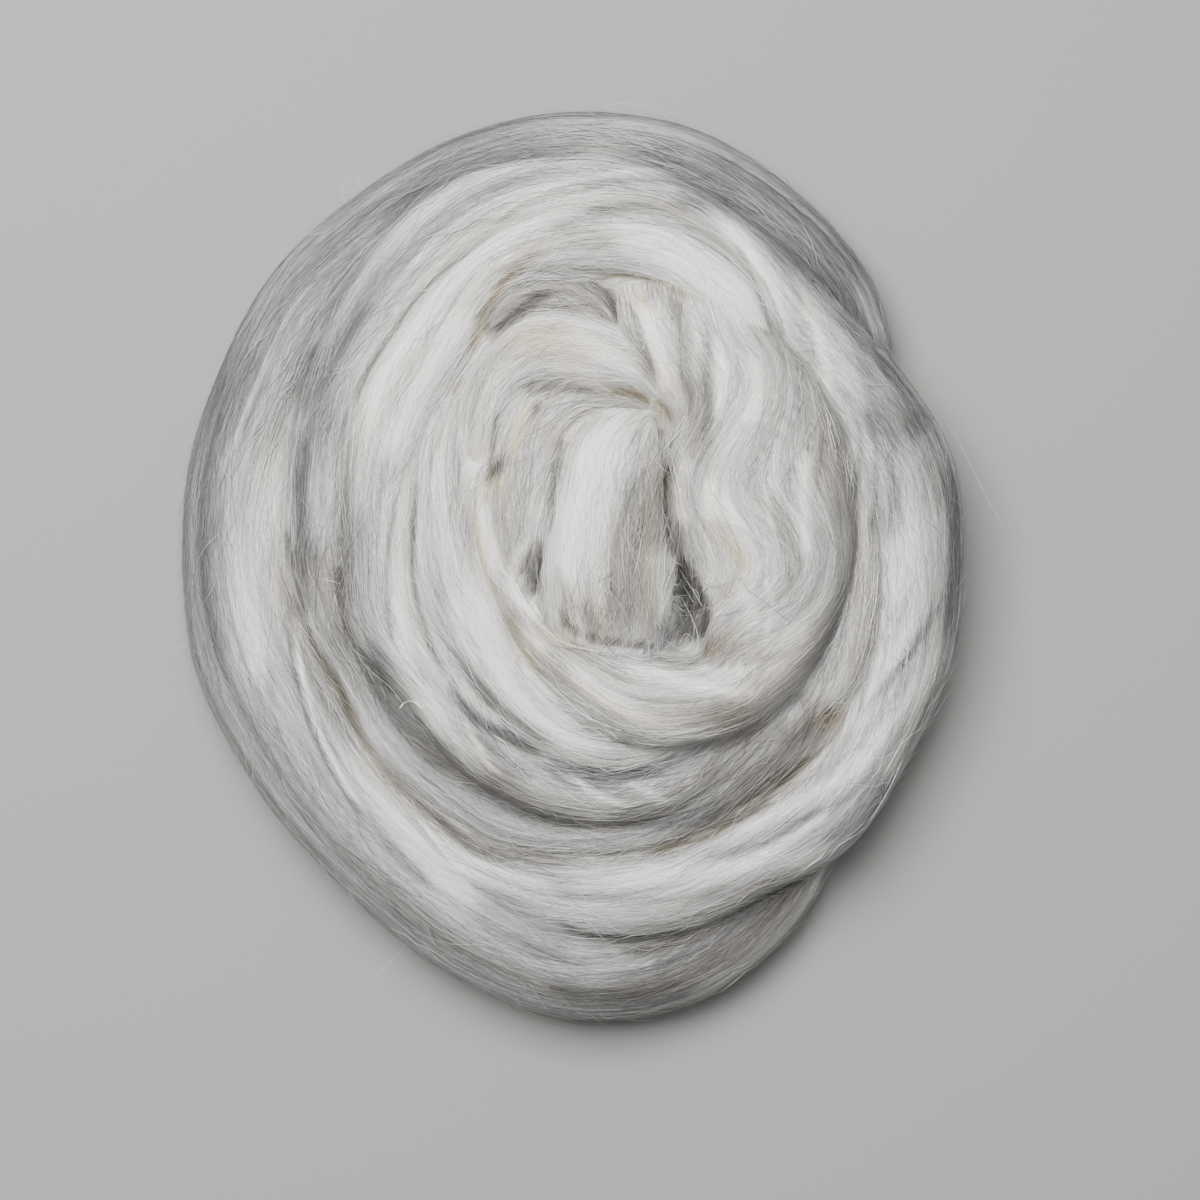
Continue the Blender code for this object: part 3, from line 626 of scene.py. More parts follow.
@dataclass(frozen=True)
class Streaks:
    """Random values that change slowly along a rope and quickly round it.

    Attributes:
        along: Distance along the rope in which a value changes, in millimetres.
        across: Distance round the rope in which a value changes, in millimetres.
        amount: The largest value.
    """

    along: float
    across: float
    amount: float

    FEWEST_COLUMNS = 3

    def values(
        self, s: np.ndarray, a: np.ndarray, length: float, girth: float, seed: int
    ) -> np.ndarray:
        """Reads a lattice of random values, eased between its points and closed round the rope.

        The lattice reaches past the rope's end, because each of its columns is shifted
        along by its own part of a step.

        Args:
            s: Distances along the rope.
            a: Angles round the rope, in radians.
            length: The rope's length.
            girth: The rope's girth.
            seed: Seed of the random values.

        Returns:
            Values from minus to plus the amount, in the shape of s.
        """
        columns = max(self.FEWEST_COLUMNS, round(girth / self.across))
        rows = math.ceil(length / self.along) + 3
        rng = np.random.default_rng(seed)
        lattice = rng.uniform(-self.amount, self.amount, (columns, rows))
        shift = rng.uniform(0, 1, columns)
        v = (a / TURN * columns) % columns
        column = np.floor(v).astype(int) % columns
        share = eased(v - np.floor(v))

        def column_value(c: np.ndarray) -> np.ndarray:
            """Reads the lattice along one column for each place."""
            u = np.clip(s / self.along + shift[c], 0, rows - 1 - SHORT)
            row = np.floor(u).astype(int)
            t = eased(u - row)
            return lattice[c, row] * (1 - t) + lattice[c, row + 1] * t

        return column_value(column) * (1 - share) + column_value((column + 1) % columns) * share


# The rope's bundles from wide to fine, with their heights; the share of a height over which
# the crease between two is rounded; the share by which they are sunk into the rope; and the
# relief of its fibres.
BUNDLES = (Streaks(130, 9.5, 0.95), Streaks(90, 4.2, 0.34), Streaks(60, 1.9, 0.14))
CREASE_SHARE = 0.18
BUNDLE_SUNK = 0.4
GRAIN = Streaks(25, 0.8, 0.05)
# How its tone and its warmth vary from streak to streak, and how far the fibres wander round
# it, in radians.
SHADES = (
    Streaks(200, 10, 0.13),
    Streaks(120, 4, 0.11),
    Streaks(70, 1.6, 0.09),
    Streaks(35, 0.8, 0.08),
)
HUES = Streaks(140, 3, 0.24)
WANDER = Streaks(90, 16, 0.12)
# A turn is darker by EDGE_SHADE down its sides. That starts where the sine of its angle
# falls to EDGE_FROM, and the locks placed on it fade out below LOCKS_TO in the same way.
EDGE_SHADE = 0.07
EDGE_FROM, EDGE_SPAN = 0.75, 0.9
LOCKS_TO, LOCKS_SPAN = -0.35, 0.5

# How fibres are laid. OUTER_SIDE is the range of angles that a fringe grows from, TRIES the
# number drawn for each one wanted and END_GAP the least distance from the turn's ends. A
# fibre counts as hidden inside HIDING times a turn's section, PROBED is where that is
# tested, and a share of SHOWING has to show. Combed fibres sink in by SUNK at both ends and
# loose ones by ROOTED at their root. The rest is how steeply they rise and narrow, how far
# they roll in degrees, how much their tones differ, how much darker the dark ones are, and
# the least height over the floor.
OUTER_SIDE = (-25.0, 40.0)
TRIES = 3
END_GAP = 0.5
SHORTEST_SHARE = 0.6
HIDING = 0.94
PROBED = np.s_[:, 2:-2:4]
SHOWING = 0.35
SUNK, ROOTED = 0.5, 0.4
RISING, NARROWING = 0.35, 0.45
FREE_WAVE = 0.08
TIP_WIDE = 0.2
ROLL = 14.0
SPREAD, SPREAD_BY_TONE = 0.05, 0.1
DARK_HAIR = 0.3
FLOOR_GAP = 0.15


def node(
    tree: bpy.types.NodeTree,
    kind: str,
    settings: dict[str, Any] | None = None,
    inputs: dict[str | int, Any] | None = None,
) -> bpy.types.Node:
    """Adds a shader node, sets it and links it.

    Args:
        tree: The node tree.
        kind: The node's type, without the words that all shader nodes start with.
        settings: Its properties by name.
        inputs: Its inputs by name or number; a socket is linked, anything else is set.

    Returns:
        The node.
    """
    made = tree.nodes.new("ShaderNode" + kind)
    for name, value in (settings or {}).items():
        setattr(made, name, value)
    for key, value in (inputs or {}).items():
        if isinstance(value, bpy.types.NodeSocket):
            tree.links.new(value, made.inputs[key])
        else:
            made.inputs[key].default_value = value
    return made


@dataclass(frozen=True)
class WoolFinish:
    """Combed merino top: straight, silky, undyed fibre, white with grey and beige in it.

    Combing lays the fibres side by side, so the surface shines along its run and its
    colour changes from lock to lock and, more finely, from fibre to fibre. A fibre is
    0.02 mm thick, too fine to show, so the grain is drawn 0.34 mm wide and 9 mm long.
    Two grains that lean a little to either side are added, as combed fibres cross.
    """

    name: str
    darkest: str = "#4E4D4C"
    grey: str = "#82817F"
    light_grey: str = "#B3B2B0"
    white: str = "#E0E0DE"
    whitest: str = "#FBFAF9"
    cream: str = "#EBD9B4"
    cool: str = "#DDE3EA"
    roughness: float = 0.5
    refraction: float = 1.55
    sheen: float = 0.3
    sheen_roughness: float = 0.35
    combed_shine: float = 0.6
    shine_turned: float = 0.25
    grain_mm: float = 0.34
    grain_run_mm: float = 9.0
    grain_lean: float = 7.0
    grain_detail: float = 2.0
    grain_share: float = 0.6
    bump_mm: float = 0.08
    bump_strength: float = 0.6

    def material(self) -> bpy.types.Material:
        """Builds the finish from a turn's tone and warmth and a fine grain along its run.

        Returns:
            The material.
        """
        material = bpy.data.materials.new(self.name)
        material.use_nodes = True
        tree = material.node_tree
        shader = tree.nodes["Principled BSDF"]
        for key, value in {
            "Roughness": self.roughness,
            "IOR": self.refraction,
            "Sheen Weight": self.sheen,
            "Sheen Roughness": self.sheen_roughness,
            "Anisotropic": self.combed_shine,
            "Anisotropic Rotation": self.shine_turned,
        }.items():
            shader.inputs[key].default_value = value
        tangent = node(tree, "Tangent", {"direction_type": "UV_MAP", "uv_map": "run_mm"})
        tree.links.new(tangent.outputs["Tangent"], shader.inputs["Tangent"])

        tone = node(tree, "Attribute", {"attribute_name": "tone"})
        warmth = node(tree, "Attribute", {"attribute_name": "warmth"})
        run = node(tree, "UVMap", {"uv_map": "run_mm"})
        grains = []
        for lean in (-self.grain_lean, self.grain_lean):
            stretched = node(
                tree,
                "Mapping",
                {"vector_type": "TEXTURE"},
                {
                    "Vector": run.outputs["UV"],
                    "Rotation": (0, 0, math.radians(lean)),
                    "Scale": (self.grain_run_mm, self.grain_mm, 1),
                },
            )
            noise = node(
                tree,
                "TexNoise",
                {"noise_dimensions": "2D"},
                {
                    "Vector": stretched.outputs["Vector"],
                    "Scale": 1.0,
                    "Detail": self.grain_detail,
                },
            )
            grains.append(noise.outputs["Fac"])
        grain = node(tree, "Math", {}, {0: grains[0], 1: grains[1]})
        centred = node(
            tree,
            "Math",
            {"operation": "MULTIPLY_ADD"},
            {0: grain.outputs[0], 1: self.grain_share, 2: -self.grain_share},
        )
        shade = node(tree, "Math", {}, {0: tone.outputs["Fac"], 1: centred.outputs[0]})
        ramp = node(tree, "ValToRGB", {}, {"Fac": shade.outputs[0]})
        stops = (self.darkest, self.grey, self.light_grey, self.white, self.whitest)
        elements = ramp.color_ramp.elements
        for i in range(1, len(stops) - 1):
            elements.new(i / (len(stops) - 1))
        for element, colour in zip(elements, stops):
            element.color = linear(colour)
        colour = ramp.outputs["Color"]
        for share, tint in ((1.0, self.cream), (-1.0, self.cool)):
            amount = node(
                tree,
                "Math",
                {"operation": "MULTIPLY", "use_clamp": True},
                {0: warmth.outputs["Fac"], 1: share},
            )
            tinted = node(
                tree,
                "Mix",
                {"data_type": "RGBA", "blend_type": "MULTIPLY"},
                {0: amount.outputs[0], 6: colour, 7: linear(tint)},
            )
            colour = tinted.outputs[2]
        tree.links.new(colour, shader.inputs["Base Color"])
        bump = node(
            tree,
            "Bump",
            {},
            {
                "Height": grain.outputs[0],
                "Strength": self.bump_strength,
                "Distance": self.bump_mm * MM,
            },
        )
        tree.links.new(bump.outputs["Normal"], shader.inputs["Normal"])
        return material


@dataclass(frozen=True)
class Lay:
    """How one sort of fibre lies on a turn.

    Attributes:
        name: Last word of its pieces' names.
        share: How many there are, as a share of the turn's count.
        shortest: Shortest length in millimetres.
        longest: Longest length, or 0 for the turn's own.
        stations: Points along a fibre.
        half_wide: Half its width in millimetres.
        cross: How far it drifts to one side over its length.
        wave: How far it waves to either side.
        waves: Most waves in its length.
        high: How far its middle stands above the turn.
        lighter: How much lighter than the turn it is, times the turn's curl; on loose
        hairs and the fringe, which stand off the wool into the light, this is painted light.
        dark: Share of them that are dark hairs.
        free: Whether it leaves the turn at its far end.
        outer: Whether it grows on the turn's outer side only, by the turn's own count.
        uneven: How many times further than combed fibres its tones differ.
    """

    name: str
    share: float
    shortest: float
    longest: float
    stations: int
    half_wide: float
    cross: float
    wave: float
    waves: float
    high: float
    lighter: float
    dark: float
    free: bool = False
    outer: bool = False
    uneven: float = 1.0


class Fibres(Enum):
    """The sorts of fibre: combed ones, short frizzy ones that cross them, and loose ends."""

    COMBED = Lay(
        "fibres", share=0.75, shortest=30, longest=0, stations=12, half_wide=0.08, cross=3.6,
        wave=0.5, waves=2.0, high=0.4, lighter=0.0, dark=0.04,
    )
    FRIZZ = Lay(
        "frizz", share=1.0, shortest=9, longest=32, stations=9, half_wide=0.055, cross=5.0,
        wave=0.7, waves=2.2, high=0.6, lighter=0.02, dark=0.07, uneven=1.25,
    )
    LOOSE = Lay(
        "loose_hairs", share=0.32, shortest=8, longest=30, stations=9, half_wide=0.06, cross=6.0,
        wave=1.8, waves=1.8, high=4.5, lighter=0.1, dark=0.06, free=True, uneven=1.4,
    )
    FRINGE = Lay(
        "fringe", share=0.0, shortest=5, longest=22, stations=7, half_wide=0.06, cross=8.0,
        wave=1.8, waves=1.8, high=3.2, lighter=0.14, dark=0.06, free=True, outer=True,
    )


def new_piece(
    name: str,
    points: np.ndarray,
    quads: np.ndarray,
    triangles: np.ndarray,
    material: bpy.types.Material,
    values: dict[str, np.ndarray],
    maps: dict[str, np.ndarray],
) -> None:
    """Makes a smooth mesh from arrays, with its values and maps, riding on the nest.

    Args:
        name: The piece's name.
        points: Its points in millimetres, one row each.
        quads: Its four-sided faces, as rows of point numbers.
        triangles: Its three-sided faces, as rows of point numbers.
        material: Its finish.
        values: Named values, one for each point.
        maps: Named UV maps, one row for each point.
    """
    mesh = bpy.data.meshes.new(name)
    corners = np.concatenate([quads.ravel(), triangles.ravel()]).astype(np.int32)
    sizes = np.repeat([4, 3], [len(quads), len(triangles)])
    mesh.vertices.add(len(points))
    mesh.vertices.foreach_set("co", (points * MM).astype(np.float32).ravel())
    mesh.loops.add(len(corners))
    mesh.loops.foreach_set("vertex_index", corners)
    mesh.polygons.add(len(sizes))
    starts = np.concatenate([[0], np.cumsum(sizes)[:-1]]).astype(np.int32)
    mesh.polygons.foreach_set("loop_start", starts)
    mesh.update(calc_edges=True)
    for key, value in values.items():
        attribute = mesh.attributes.new(key, "FLOAT", "POINT")
        attribute.data.foreach_set("value", value.astype(np.float32).ravel())
    for key, value in maps.items():
        layer = mesh.uv_layers.new(name=key)
        layer.uv.foreach_set("vector", value[corners].astype(np.float32).ravel())
    mesh.shade_smooth()
    mesh.materials.append(material)
    piece = bpy.data.objects.new(name, mesh)
    bpy.context.scene.collection.objects.link(piece)
    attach(piece, BODY)
    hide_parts(NODE)
    LOG.info("%s: %d points, %d faces", name, len(points), len(sizes))


def breadths(rng: np.random.Generator, count: int) -> np.ndarray:
    """Draws how broad each fibre is: mostly near its sort's usual width, seldom twice that."""
    return rng.gamma(4.0, 0.25, count).clip(0.4, 1.9)[:, None]


def ribbons(
    name: str,
    middle_line: np.ndarray,
    up: np.ndarray,
    half: np.ndarray,
    tone: np.ndarray,
    warmth: np.ndarray,
    material: bpy.types.Material,
) -> None:
    """Makes one mesh of flat ribbons, each along its own middle line, darkest first.

    A ribbon's edges lie half its width to either side of the line, square to the line
    and to the way that it faces.

    Args:
        name: The piece's name.
        middle_line: Points of each ribbon, in rows of three.
        up: The way that a ribbon's broad side faces at each point.
        half: Half its width at each point.
        tone: Its tone at each point.
        warmth: Its warmth at each point.
        material: Its finish.
    """
    along = np.gradient(middle_line, axis=1)
    along = along / np.maximum(np.linalg.norm(along, axis=-1, keepdims=True), TINY)
    side = np.cross(along, up)
    side = side / np.maximum(np.linalg.norm(side, axis=-1, keepdims=True), TINY)
    edge = side * half[..., None]
    points = np.stack([middle_line - edge, middle_line + edge], axis=2)
    points[..., 2] = np.maximum(points[..., 2], FLOOR_GAP)
    order = np.argsort(tone.mean(axis=1))
    points, tone, warmth = points[order], tone[order], warmth[order]
    count, stations = tone.shape
    t = np.linspace(0, 1, stations)[None, :, None]
    row = (np.arange(count)[:, None, None] + np.array([0.1, 0.9])) / count
    bake = np.stack(np.broadcast_arrays(t, row), axis=-1).reshape(-1, 2)
    first, second = np.meshgrid(np.arange(count), np.arange(stations - 1), indexing="ij")
    corner = (first * stations + second) * 2
    new_piece(
        name,
        points.reshape(-1, 3),
        np.stack([corner, corner + 1, corner + 3, corner + 2], axis=-1).reshape(-1, 4),
        np.empty((0, 3), int),
        material,
        {"tone": np.repeat(tone.ravel(), 2), "warmth": np.repeat(warmth.ravel(), 2)},
        {"OFBake": bake, "run_mm": bake * np.array([100.0, 0.6 * count])},
    )


@dataclass
class Turn:
    """One turn or lobe of the rope, as a surface over its run and its angle.

    Attributes:
        name: The turn's name.
        rows: Its sections, as bearings or as lobe sections.
        seed: Seed of its bundles.
        tone: How light its wool is, from 0 for grey to 1 for white, and lowered as
        painted shade on the rim and on the turns that lie deep or in creases.
        warmth: How yellow it is, from 0 to 1.
        fibres: How many fibres lie on it.
        longest: Length of its longest fibres.
        low: Lowest angle at which fibres lie on it, in degrees; 0 is the right-hand
            side of its run, 90 its top and 180 its left-hand side.
        high: Highest such angle.
        twist: Degrees that the fibres turn round the rope in 100 mm of it.
        sway: Stations, which are bearings or row numbers, with the degrees that the
            fibres have swung round the rope there.
        run_step: Distance between the surface's points along the rope.
        girth_step: Distance between them round it, on average.
        end_rounding: Length over which each end is drawn in.
        curl: How many times further than usual its fibres wave and cross, and how many
        times more they are lightened and their tones differ.
        fringe: How many short hairs stand off its outer side.
    """

    name: str
    rows: tuple[NamedTuple, ...]
    seed: int
    tone: float = 0.62
    warmth: float = 0.05
    fibres: int = 1000
    longest: float = 90.0
    low: float = -20.0
    high: float = 200.0
    twist: float = 6.0
    sway: tuple[tuple[float, float], ...] = ((0.0, 0.0), (1.0, 0.0))
    run_step: float = 2.5
    girth_step: float = 1.1
    end_rounding: float = 22.0
    curl: float = 1.0
    fringe: int = 0

    # The power of the section's superellipse, the lowest that any wool lies, the curve's
    # steps from one section to the next, the steps between places that `holds` looks at,
    # the fewest rings and sides of the surface, and how unevenly its sides are spaced.
    SQUARENESS = 2.3
    LOWEST = 0.3
    CURVE_STEPS = 60
    PLACE_STEP = 4
    FEWEST_RINGS, FEWEST_SIDES = 6, 24
    FINER_ON_TOP = 0.5
    # What each set of random values adds to the turn's seed.
    GRAIN_SEED, SHADE_SEED, HUE_SEED, WANDER_SEED, FIBRE_SEED = 7, 20, 30, 50, 900

    def __post_init__(self) -> None:
        """Works out the turn's run, stepped every millimetre, from its rows."""
        if isinstance(self.rows[0], Bearing):
            stations = np.array([row.degrees for row in self.rows])
            rows = self._sections_from_bearings()
        else:
            stations = np.arange(len(self.rows), dtype=float)
            rows = np.array(self.rows, float)
        curve = through(np.column_stack([rows, stations]), self.CURVE_STEPS)
        gone = np.concatenate([[0], np.cumsum(np.hypot(*np.diff(curve[:, :2], axis=0).T))])
        self.length = float(gone[-1])
        self.s = np.linspace(0, self.length, round(self.length) + 1)
        even = np.column_stack([np.interp(self.s, gone, column) for column in curve.T])
        self.x, self.y, self.wide, self.crown, self.thick, self.station = even.T
        run_x, run_y = np.gradient(self.x), np.gradient(self.y)
        size = np.hypot(run_x, run_y)
        self.side_x, self.side_y = run_y / size, -run_x / size
        self.girth = float(math.pi * (self.wide.mean() + self.thick.mean()) / 2)

    def _sections_from_bearings(self) -> np.ndarray:
        """Turns edges on a bearing into the rope's own middle and width.

        The width is the distance between the edges, times the sine of the angle
        between the bearing and the rope's run.

        Returns:
            Rows of x, y, width, crown and thickness.
        """
        rows = np.array(self.rows, float)
        angle = np.radians(rows[:, 0])
        radius = rows[:, 1:3].mean(axis=1)
        x, y = radius * np.cos(angle), radius * np.sin(angle)
        at = np.arange(len(rows))
        before, after = np.maximum(at - 1, 0), np.minimum(at + 1, len(rows) - 1)
        run_x, run_y = x[after] - x[before], y[after] - y[before]
        across = np.abs(run_x * np.sin(angle) - run_y * np.cos(angle)) / np.hypot(run_x, run_y)
        wide = (rows[:, 1] - rows[:, 2]) * across
        return np.column_stack([x, y, wide, rows[:, 3], rows[:, 4]])

    def _read(self, s: np.ndarray, column: np.ndarray) -> np.ndarray:
        """Reads one of the run's values at distances along it."""
        return np.interp(s, self.s, column)

    def _streaks(self, streaks: Streaks, s: np.ndarray, f: np.ndarray, number: int) -> np.ndarray:
        """Reads one set of streaks on this turn."""
        return streaks.values(s, f, self.length, self.girth, self.seed + number)

    def _swing(self, s: np.ndarray, f: np.ndarray) -> np.ndarray:
        """How far the fibres have turned round the rope: its twist, its sway and a wander."""
        stations, degrees = np.array(self.sway, float).T
        at = np.interp(self._read(s, self.station), stations, np.arange(len(stations)))
        row = np.minimum(at.astype(int), len(stations) - 2)
        sway = degrees[row] + (degrees[row + 1] - degrees[row]) * eased(at - row)
        slow = np.radians(self.twist * s / 100 + sway)
        return slow + self._streaks(WANDER, s, f, self.WANDER_SEED)

    def flow(self, s: np.ndarray, a: np.ndarray) -> np.ndarray:
        """The angle that a fibre keeps all along the turn, from the angle where it is now."""
        return a - self._swing(s, a - self._swing(s, a))

    def angle(self, s: np.ndarray, f: np.ndarray) -> np.ndarray:
        """The angle where a fibre is now, from the one that it keeps."""
        return f + self._swing(s, f)

    def place(self, s: np.ndarray, a: np.ndarray, proud: np.ndarray) -> np.ndarray:
        """Points on the turn, or above it.

        The section is a superellipse, wider than it is deep, and it is drawn in at the
        turn's two ends as a quarter circle is.

        Args:
            s: Distances along the rope.
            a: Angles round it, in radians.
            proud: Distances out from the section.

        Returns:
            Points in millimetres, in the shape of s with a last axis of three.
        """
        cos, sin = np.cos(a), np.sin(a)
        power = 2 / self.SQUARENESS
        out = np.sign(cos) * np.abs(cos) ** power * self._read(s, self.wide) / 2
        up = np.sign(sin) * np.abs(sin) ** power * self._read(s, self.thick) / 2
        end = np.clip(np.minimum(s, self.length - s) / self.end_rounding, 0.0, 1.0)
        drawn = np.sqrt(1 - (1 - end) ** 2 + 1e-4)  # never quite nought
        out = (out + cos * proud) * drawn
        up = (up + sin * proud) * drawn
        x = self._read(s, self.x) + self._read(s, self.side_x) * out
        y = self._read(s, self.y) + self._read(s, self.side_y) * out
        z = self._read(s, self.crown) - self._read(s, self.thick) / 2 + up
        return np.stack([x, y, np.maximum(z, self.LOWEST)], axis=-1)

    def wool(self, s: np.ndarray, a: np.ndarray) -> tuple[np.ndarray, np.ndarray, np.ndarray]:
        """The gathered wool at places on the turn.

        A bundle is the distance of a streak value from nought, as the hypotenuse of that
        and a small rounding: round on top, and creased where the value changes sign,
        which is between two bundles. The placed locks are added to that, with their painted
        light and shade, and the tone is darkened down the turn's sides as painted shade.

        Args:
            s: Distances along the rope.
            a: Angles round it.

        Returns:
            Its height in millimetres, its tone and its warmth.
        """
        f = self.flow(s, a)
        height = self._streaks(GRAIN, s, f, self.GRAIN_SEED)
        for i, bundles in enumerate(BUNDLES):
            value = self._streaks(bundles, s, f, i)
            soft = CREASE_SHARE * bundles.amount
            height = height + np.hypot(value, soft) - BUNDLE_SUNK * bundles.amount
        tone = np.full_like(s, self.tone)
        for i, shades in enumerate(SHADES):
            tone = tone + self._streaks(shades, s, f, self.SHADE_SEED + i)
        warmth = self.warmth + self._streaks(HUES, s, f, self.HUE_SEED)
        tone = tone - EDGE_SHADE * eased((EDGE_FROM - np.sin(a)) / EDGE_SPAN)
        top = eased((np.sin(a) - LOCKS_TO) / LOCKS_SPAN)
        places = in_photo(self.place(s, a, np.zeros_like(s))).reshape(-1, 2)
        lift, light, yellow = (top * value.reshape(s.shape) for value in placed_locks_and_shading(places))
        return height + lift, np.clip(tone + light, 0, 1), np.clip(warmth + yellow, -1, 1)

    def holds(self, points: np.ndarray, slack: float) -> np.ndarray:
        """Whether points lie inside the turn, by its section at the nearest place of its run.

        A point is inside where the superellipse's sum of two powers is under 1.

        Args:
            points: Points in millimetres, one row each.
            slack: Share of the section's size that counts as inside.

        Returns:
            True for each point inside.
        """
        middle = np.column_stack([self.x, self.y])
        nearest = np.empty(len(points), int)
        for start in range(0, len(points), BLOCK):
            block = points[start : start + BLOCK, None, :2] - middle[None, :: self.PLACE_STEP]
            nearest[start : start + BLOCK] = (block**2).sum(axis=-1).argmin(axis=1)
        nearest = nearest * self.PLACE_STEP
        off = points[:, :2] - middle[nearest]
        side = off[:, 0] * self.side_x[nearest] + off[:, 1] * self.side_y[nearest]
        along = off[:, 0] * -self.side_y[nearest] + off[:, 1] * self.side_x[nearest]
        up = points[:, 2] - (self.crown - self.thick / 2)[nearest]
        reach = np.abs(2 * side / (self.wide[nearest] * slack)) ** self.SQUARENESS
        reach = reach + np.abs(2 * up / (self.thick[nearest] * slack)) ** self.SQUARENESS
        return (reach < 1) & (np.abs(along) < 2 * self.PLACE_STEP)

    def skin(self, material: bpy.types.Material) -> None:
        """Makes the turn's own surface: a grid over run and angle, closed at both ends.

        The angle starts at the underside, and a sine that is added to it makes its steps
        three times finer on top.

        Args:
            material: Its finish.
        """
        rings = max(self.FEWEST_RINGS, round(self.length / self.run_step)) + 1
        sides = max(self.FEWEST_SIDES, round(self.girth / self.girth_step))
        share = np.arange(sides) / sides
        around = TURN * share - math.pi / 2 + self.FINER_ON_TOP * np.sin(TURN * share)
        s, a = np.meshgrid(np.linspace(0, self.length, rings), around, indexing="ij")
        height, tone, warmth = self.wool(s, a)
        points = self.place(s, a, height).reshape(-1, 3)
        middles = np.array([points[:sides].mean(axis=0), points[-sides:].mean(axis=0)])
        first, second = np.meshgrid(np.arange(rings - 1), np.arange(sides), indexing="ij")
        here, beside = first * sides + second, first * sides + (second + 1) % sides
        quads = np.stack([here, here + sides, beside + sides, beside], axis=-1).reshape(-1, 4)
        rim = np.arange(sides)
        next_one, last = (rim + 1) % sides, (rings - 1) * sides
        count = len(points)
        near_end = np.column_stack([np.full(sides, count), rim, next_one])
        far_end = np.column_stack([np.full(sides, count + 1), last + next_one, last + rim])
        run = np.stack([s, self.flow(s, a) / TURN * self.girth], axis=-1).reshape(-1, 2)
        bake = np.stack([s / self.length, np.broadcast_to(share, s.shape)], axis=-1).reshape(-1, 2)
        new_piece(
            f"{self.name}_mass",
            np.concatenate([points, middles]),
            quads,
            np.concatenate([near_end, far_end]),
            material,
            {
                "tone": np.append(tone.ravel(), [tone.mean()] * 2),
                "warmth": np.append(warmth.ravel(), [warmth.mean()] * 2),
            },
            {
                "OFBake": np.concatenate([bake, bake[[0, -1]]]),
                "run_mm": np.concatenate([run, run[[0, -1]]]),
            },
        )

    def lay(
        self, sort: Fibres, others: list["Turn"], bedding: "Bedding", material: bpy.types.Material
    ) -> None:
        """Lays fibres along the turn, where no other turn covers it.

        A fibre keeps its flow angle, crosses its neighbours at a small angle and waves.
        It is a flat ribbon that narrows to its ends, rolled a little to one side. Its
        height above the turn is an arch that sinks in at both ends, or, for a loose
        hair, grows as the square of the distance from its root.

        Args:
            sort: The sort of fibre.
            others: The turns that may cover this one.
            bedding: The wool between them, which may cover it too.
            material: The fibres' finish.
        """
        kind = sort.value
        wanted = self.fringe if kind.outer else round(self.fibres * kind.share)
        if not wanted:
            return
        rng = np.random.default_rng(self.seed + self.FIBRE_SEED + len(kind.name))
        tries = wanted * TRIES
        t = np.linspace(0, 1, kind.stations)[None, :]
        longest = min(kind.longest or self.longest, self.longest, self.length - 1)
        shortest = min(kind.shortest, SHORTEST_SHARE * longest)
        size = rng.uniform(shortest, longest, tries)[:, None]
        start = rng.uniform(END_GAP, self.length - END_GAP - size[:, 0])[:, None]
        s = start + size * t
        radius = self.girth / TURN
        lowest, highest = OUTER_SIDE if kind.outer else (self.low, self.high)
        keep = np.radians(rng.uniform(lowest, highest, tries))[:, None]
        cross = self.curl * rng.normal(0, kind.cross, tries)[:, None] * (t - 0.5)
        wave = self.curl * rng.uniform(0.2, 1.0, tries)[:, None] * kind.wave
        waves = rng.uniform(0.5, kind.waves, tries)[:, None]
        phase = rng.uniform(0, TURN, tries)[:, None]
        middle = (start + size / 2).clip(0, self.length)
        keep = keep - self._swing(middle, keep)
        a = self.angle(s, keep + (cross + wave * np.sin(waves * TURN * t + phase)) / radius)
        probe = self.place(s[PROBED], a[PROBED], np.zeros_like(s[PROBED]))
        hidden = bedding.covers(probe)
        for other in others:
            if other is not self:
                hidden |= other.holds(probe.reshape(-1, 3), HIDING).reshape(probe.shape[:2])
        seen = np.flatnonzero((~hidden).mean(axis=1) > SHOWING)[:wanted]
        count = len(seen)
        if not count:
            return
        s, a, t = s[seen], a[seen], np.broadcast_to(t, (count, kind.stations))
        proud, tone, warmth = self.wool(s, a)
        rise = kind.high * rng.uniform(0.1, 1.0, count)[:, None]
        arch = np.sin(math.pi * t)
        if kind.free:
            wag = FREE_WAVE * rise * np.sin(2 * waves[seen] * TURN * t)
            lift = -ROOTED + (ROOTED + rise) * t**2 + wag
            narrow = (1 - t) ** 0.5 * (1 - TIP_WIDE) + TIP_WIDE
        else:
            lift = -SUNK + (SUNK + rise) * arch**RISING
            narrow = arch**NARROWING
        cos, sin = np.cos(a), np.sin(a)
        side_x, side_y = self._read(s, self.side_x), self._read(s, self.side_y)
        roll = np.radians(rng.normal(0, ROLL, count))[:, None]
        cos, sin = cos * np.cos(roll) - sin * np.sin(roll), sin * np.cos(roll) + cos * np.sin(roll)
        half = kind.half_wide * breadths(rng, count) * narrow
        spread = (SPREAD + SPREAD_BY_TONE * self.tone) * kind.uneven * self.curl
        # Loose hairs and the fringe are made lighter here, as painted light.
        tone = tone + kind.lighter * self.curl + rng.normal(0, spread, count)[:, None]
        dark = rng.random(count) < kind.dark
        ribbons(
            f"{self.name}_{kind.name}",
            self.place(s, a, proud + lift),
            np.stack([cos * side_x, cos * side_y, sin], axis=-1),
            half,
            np.where(dark[:, None], tone - DARK_HAIR, tone).clip(0, 1),
            warmth,
            material,
        )


def softened(grid: np.ndarray, times: int) -> np.ndarray:
    """Averages a grid with its neighbours, several times over."""
    for _ in range(times):
        for axis in (-2, -1):
            grid = 0.5 * grid + 0.25 * (np.roll(grid, 1, axis) + np.roll(grid, -1, axis))
    return grid


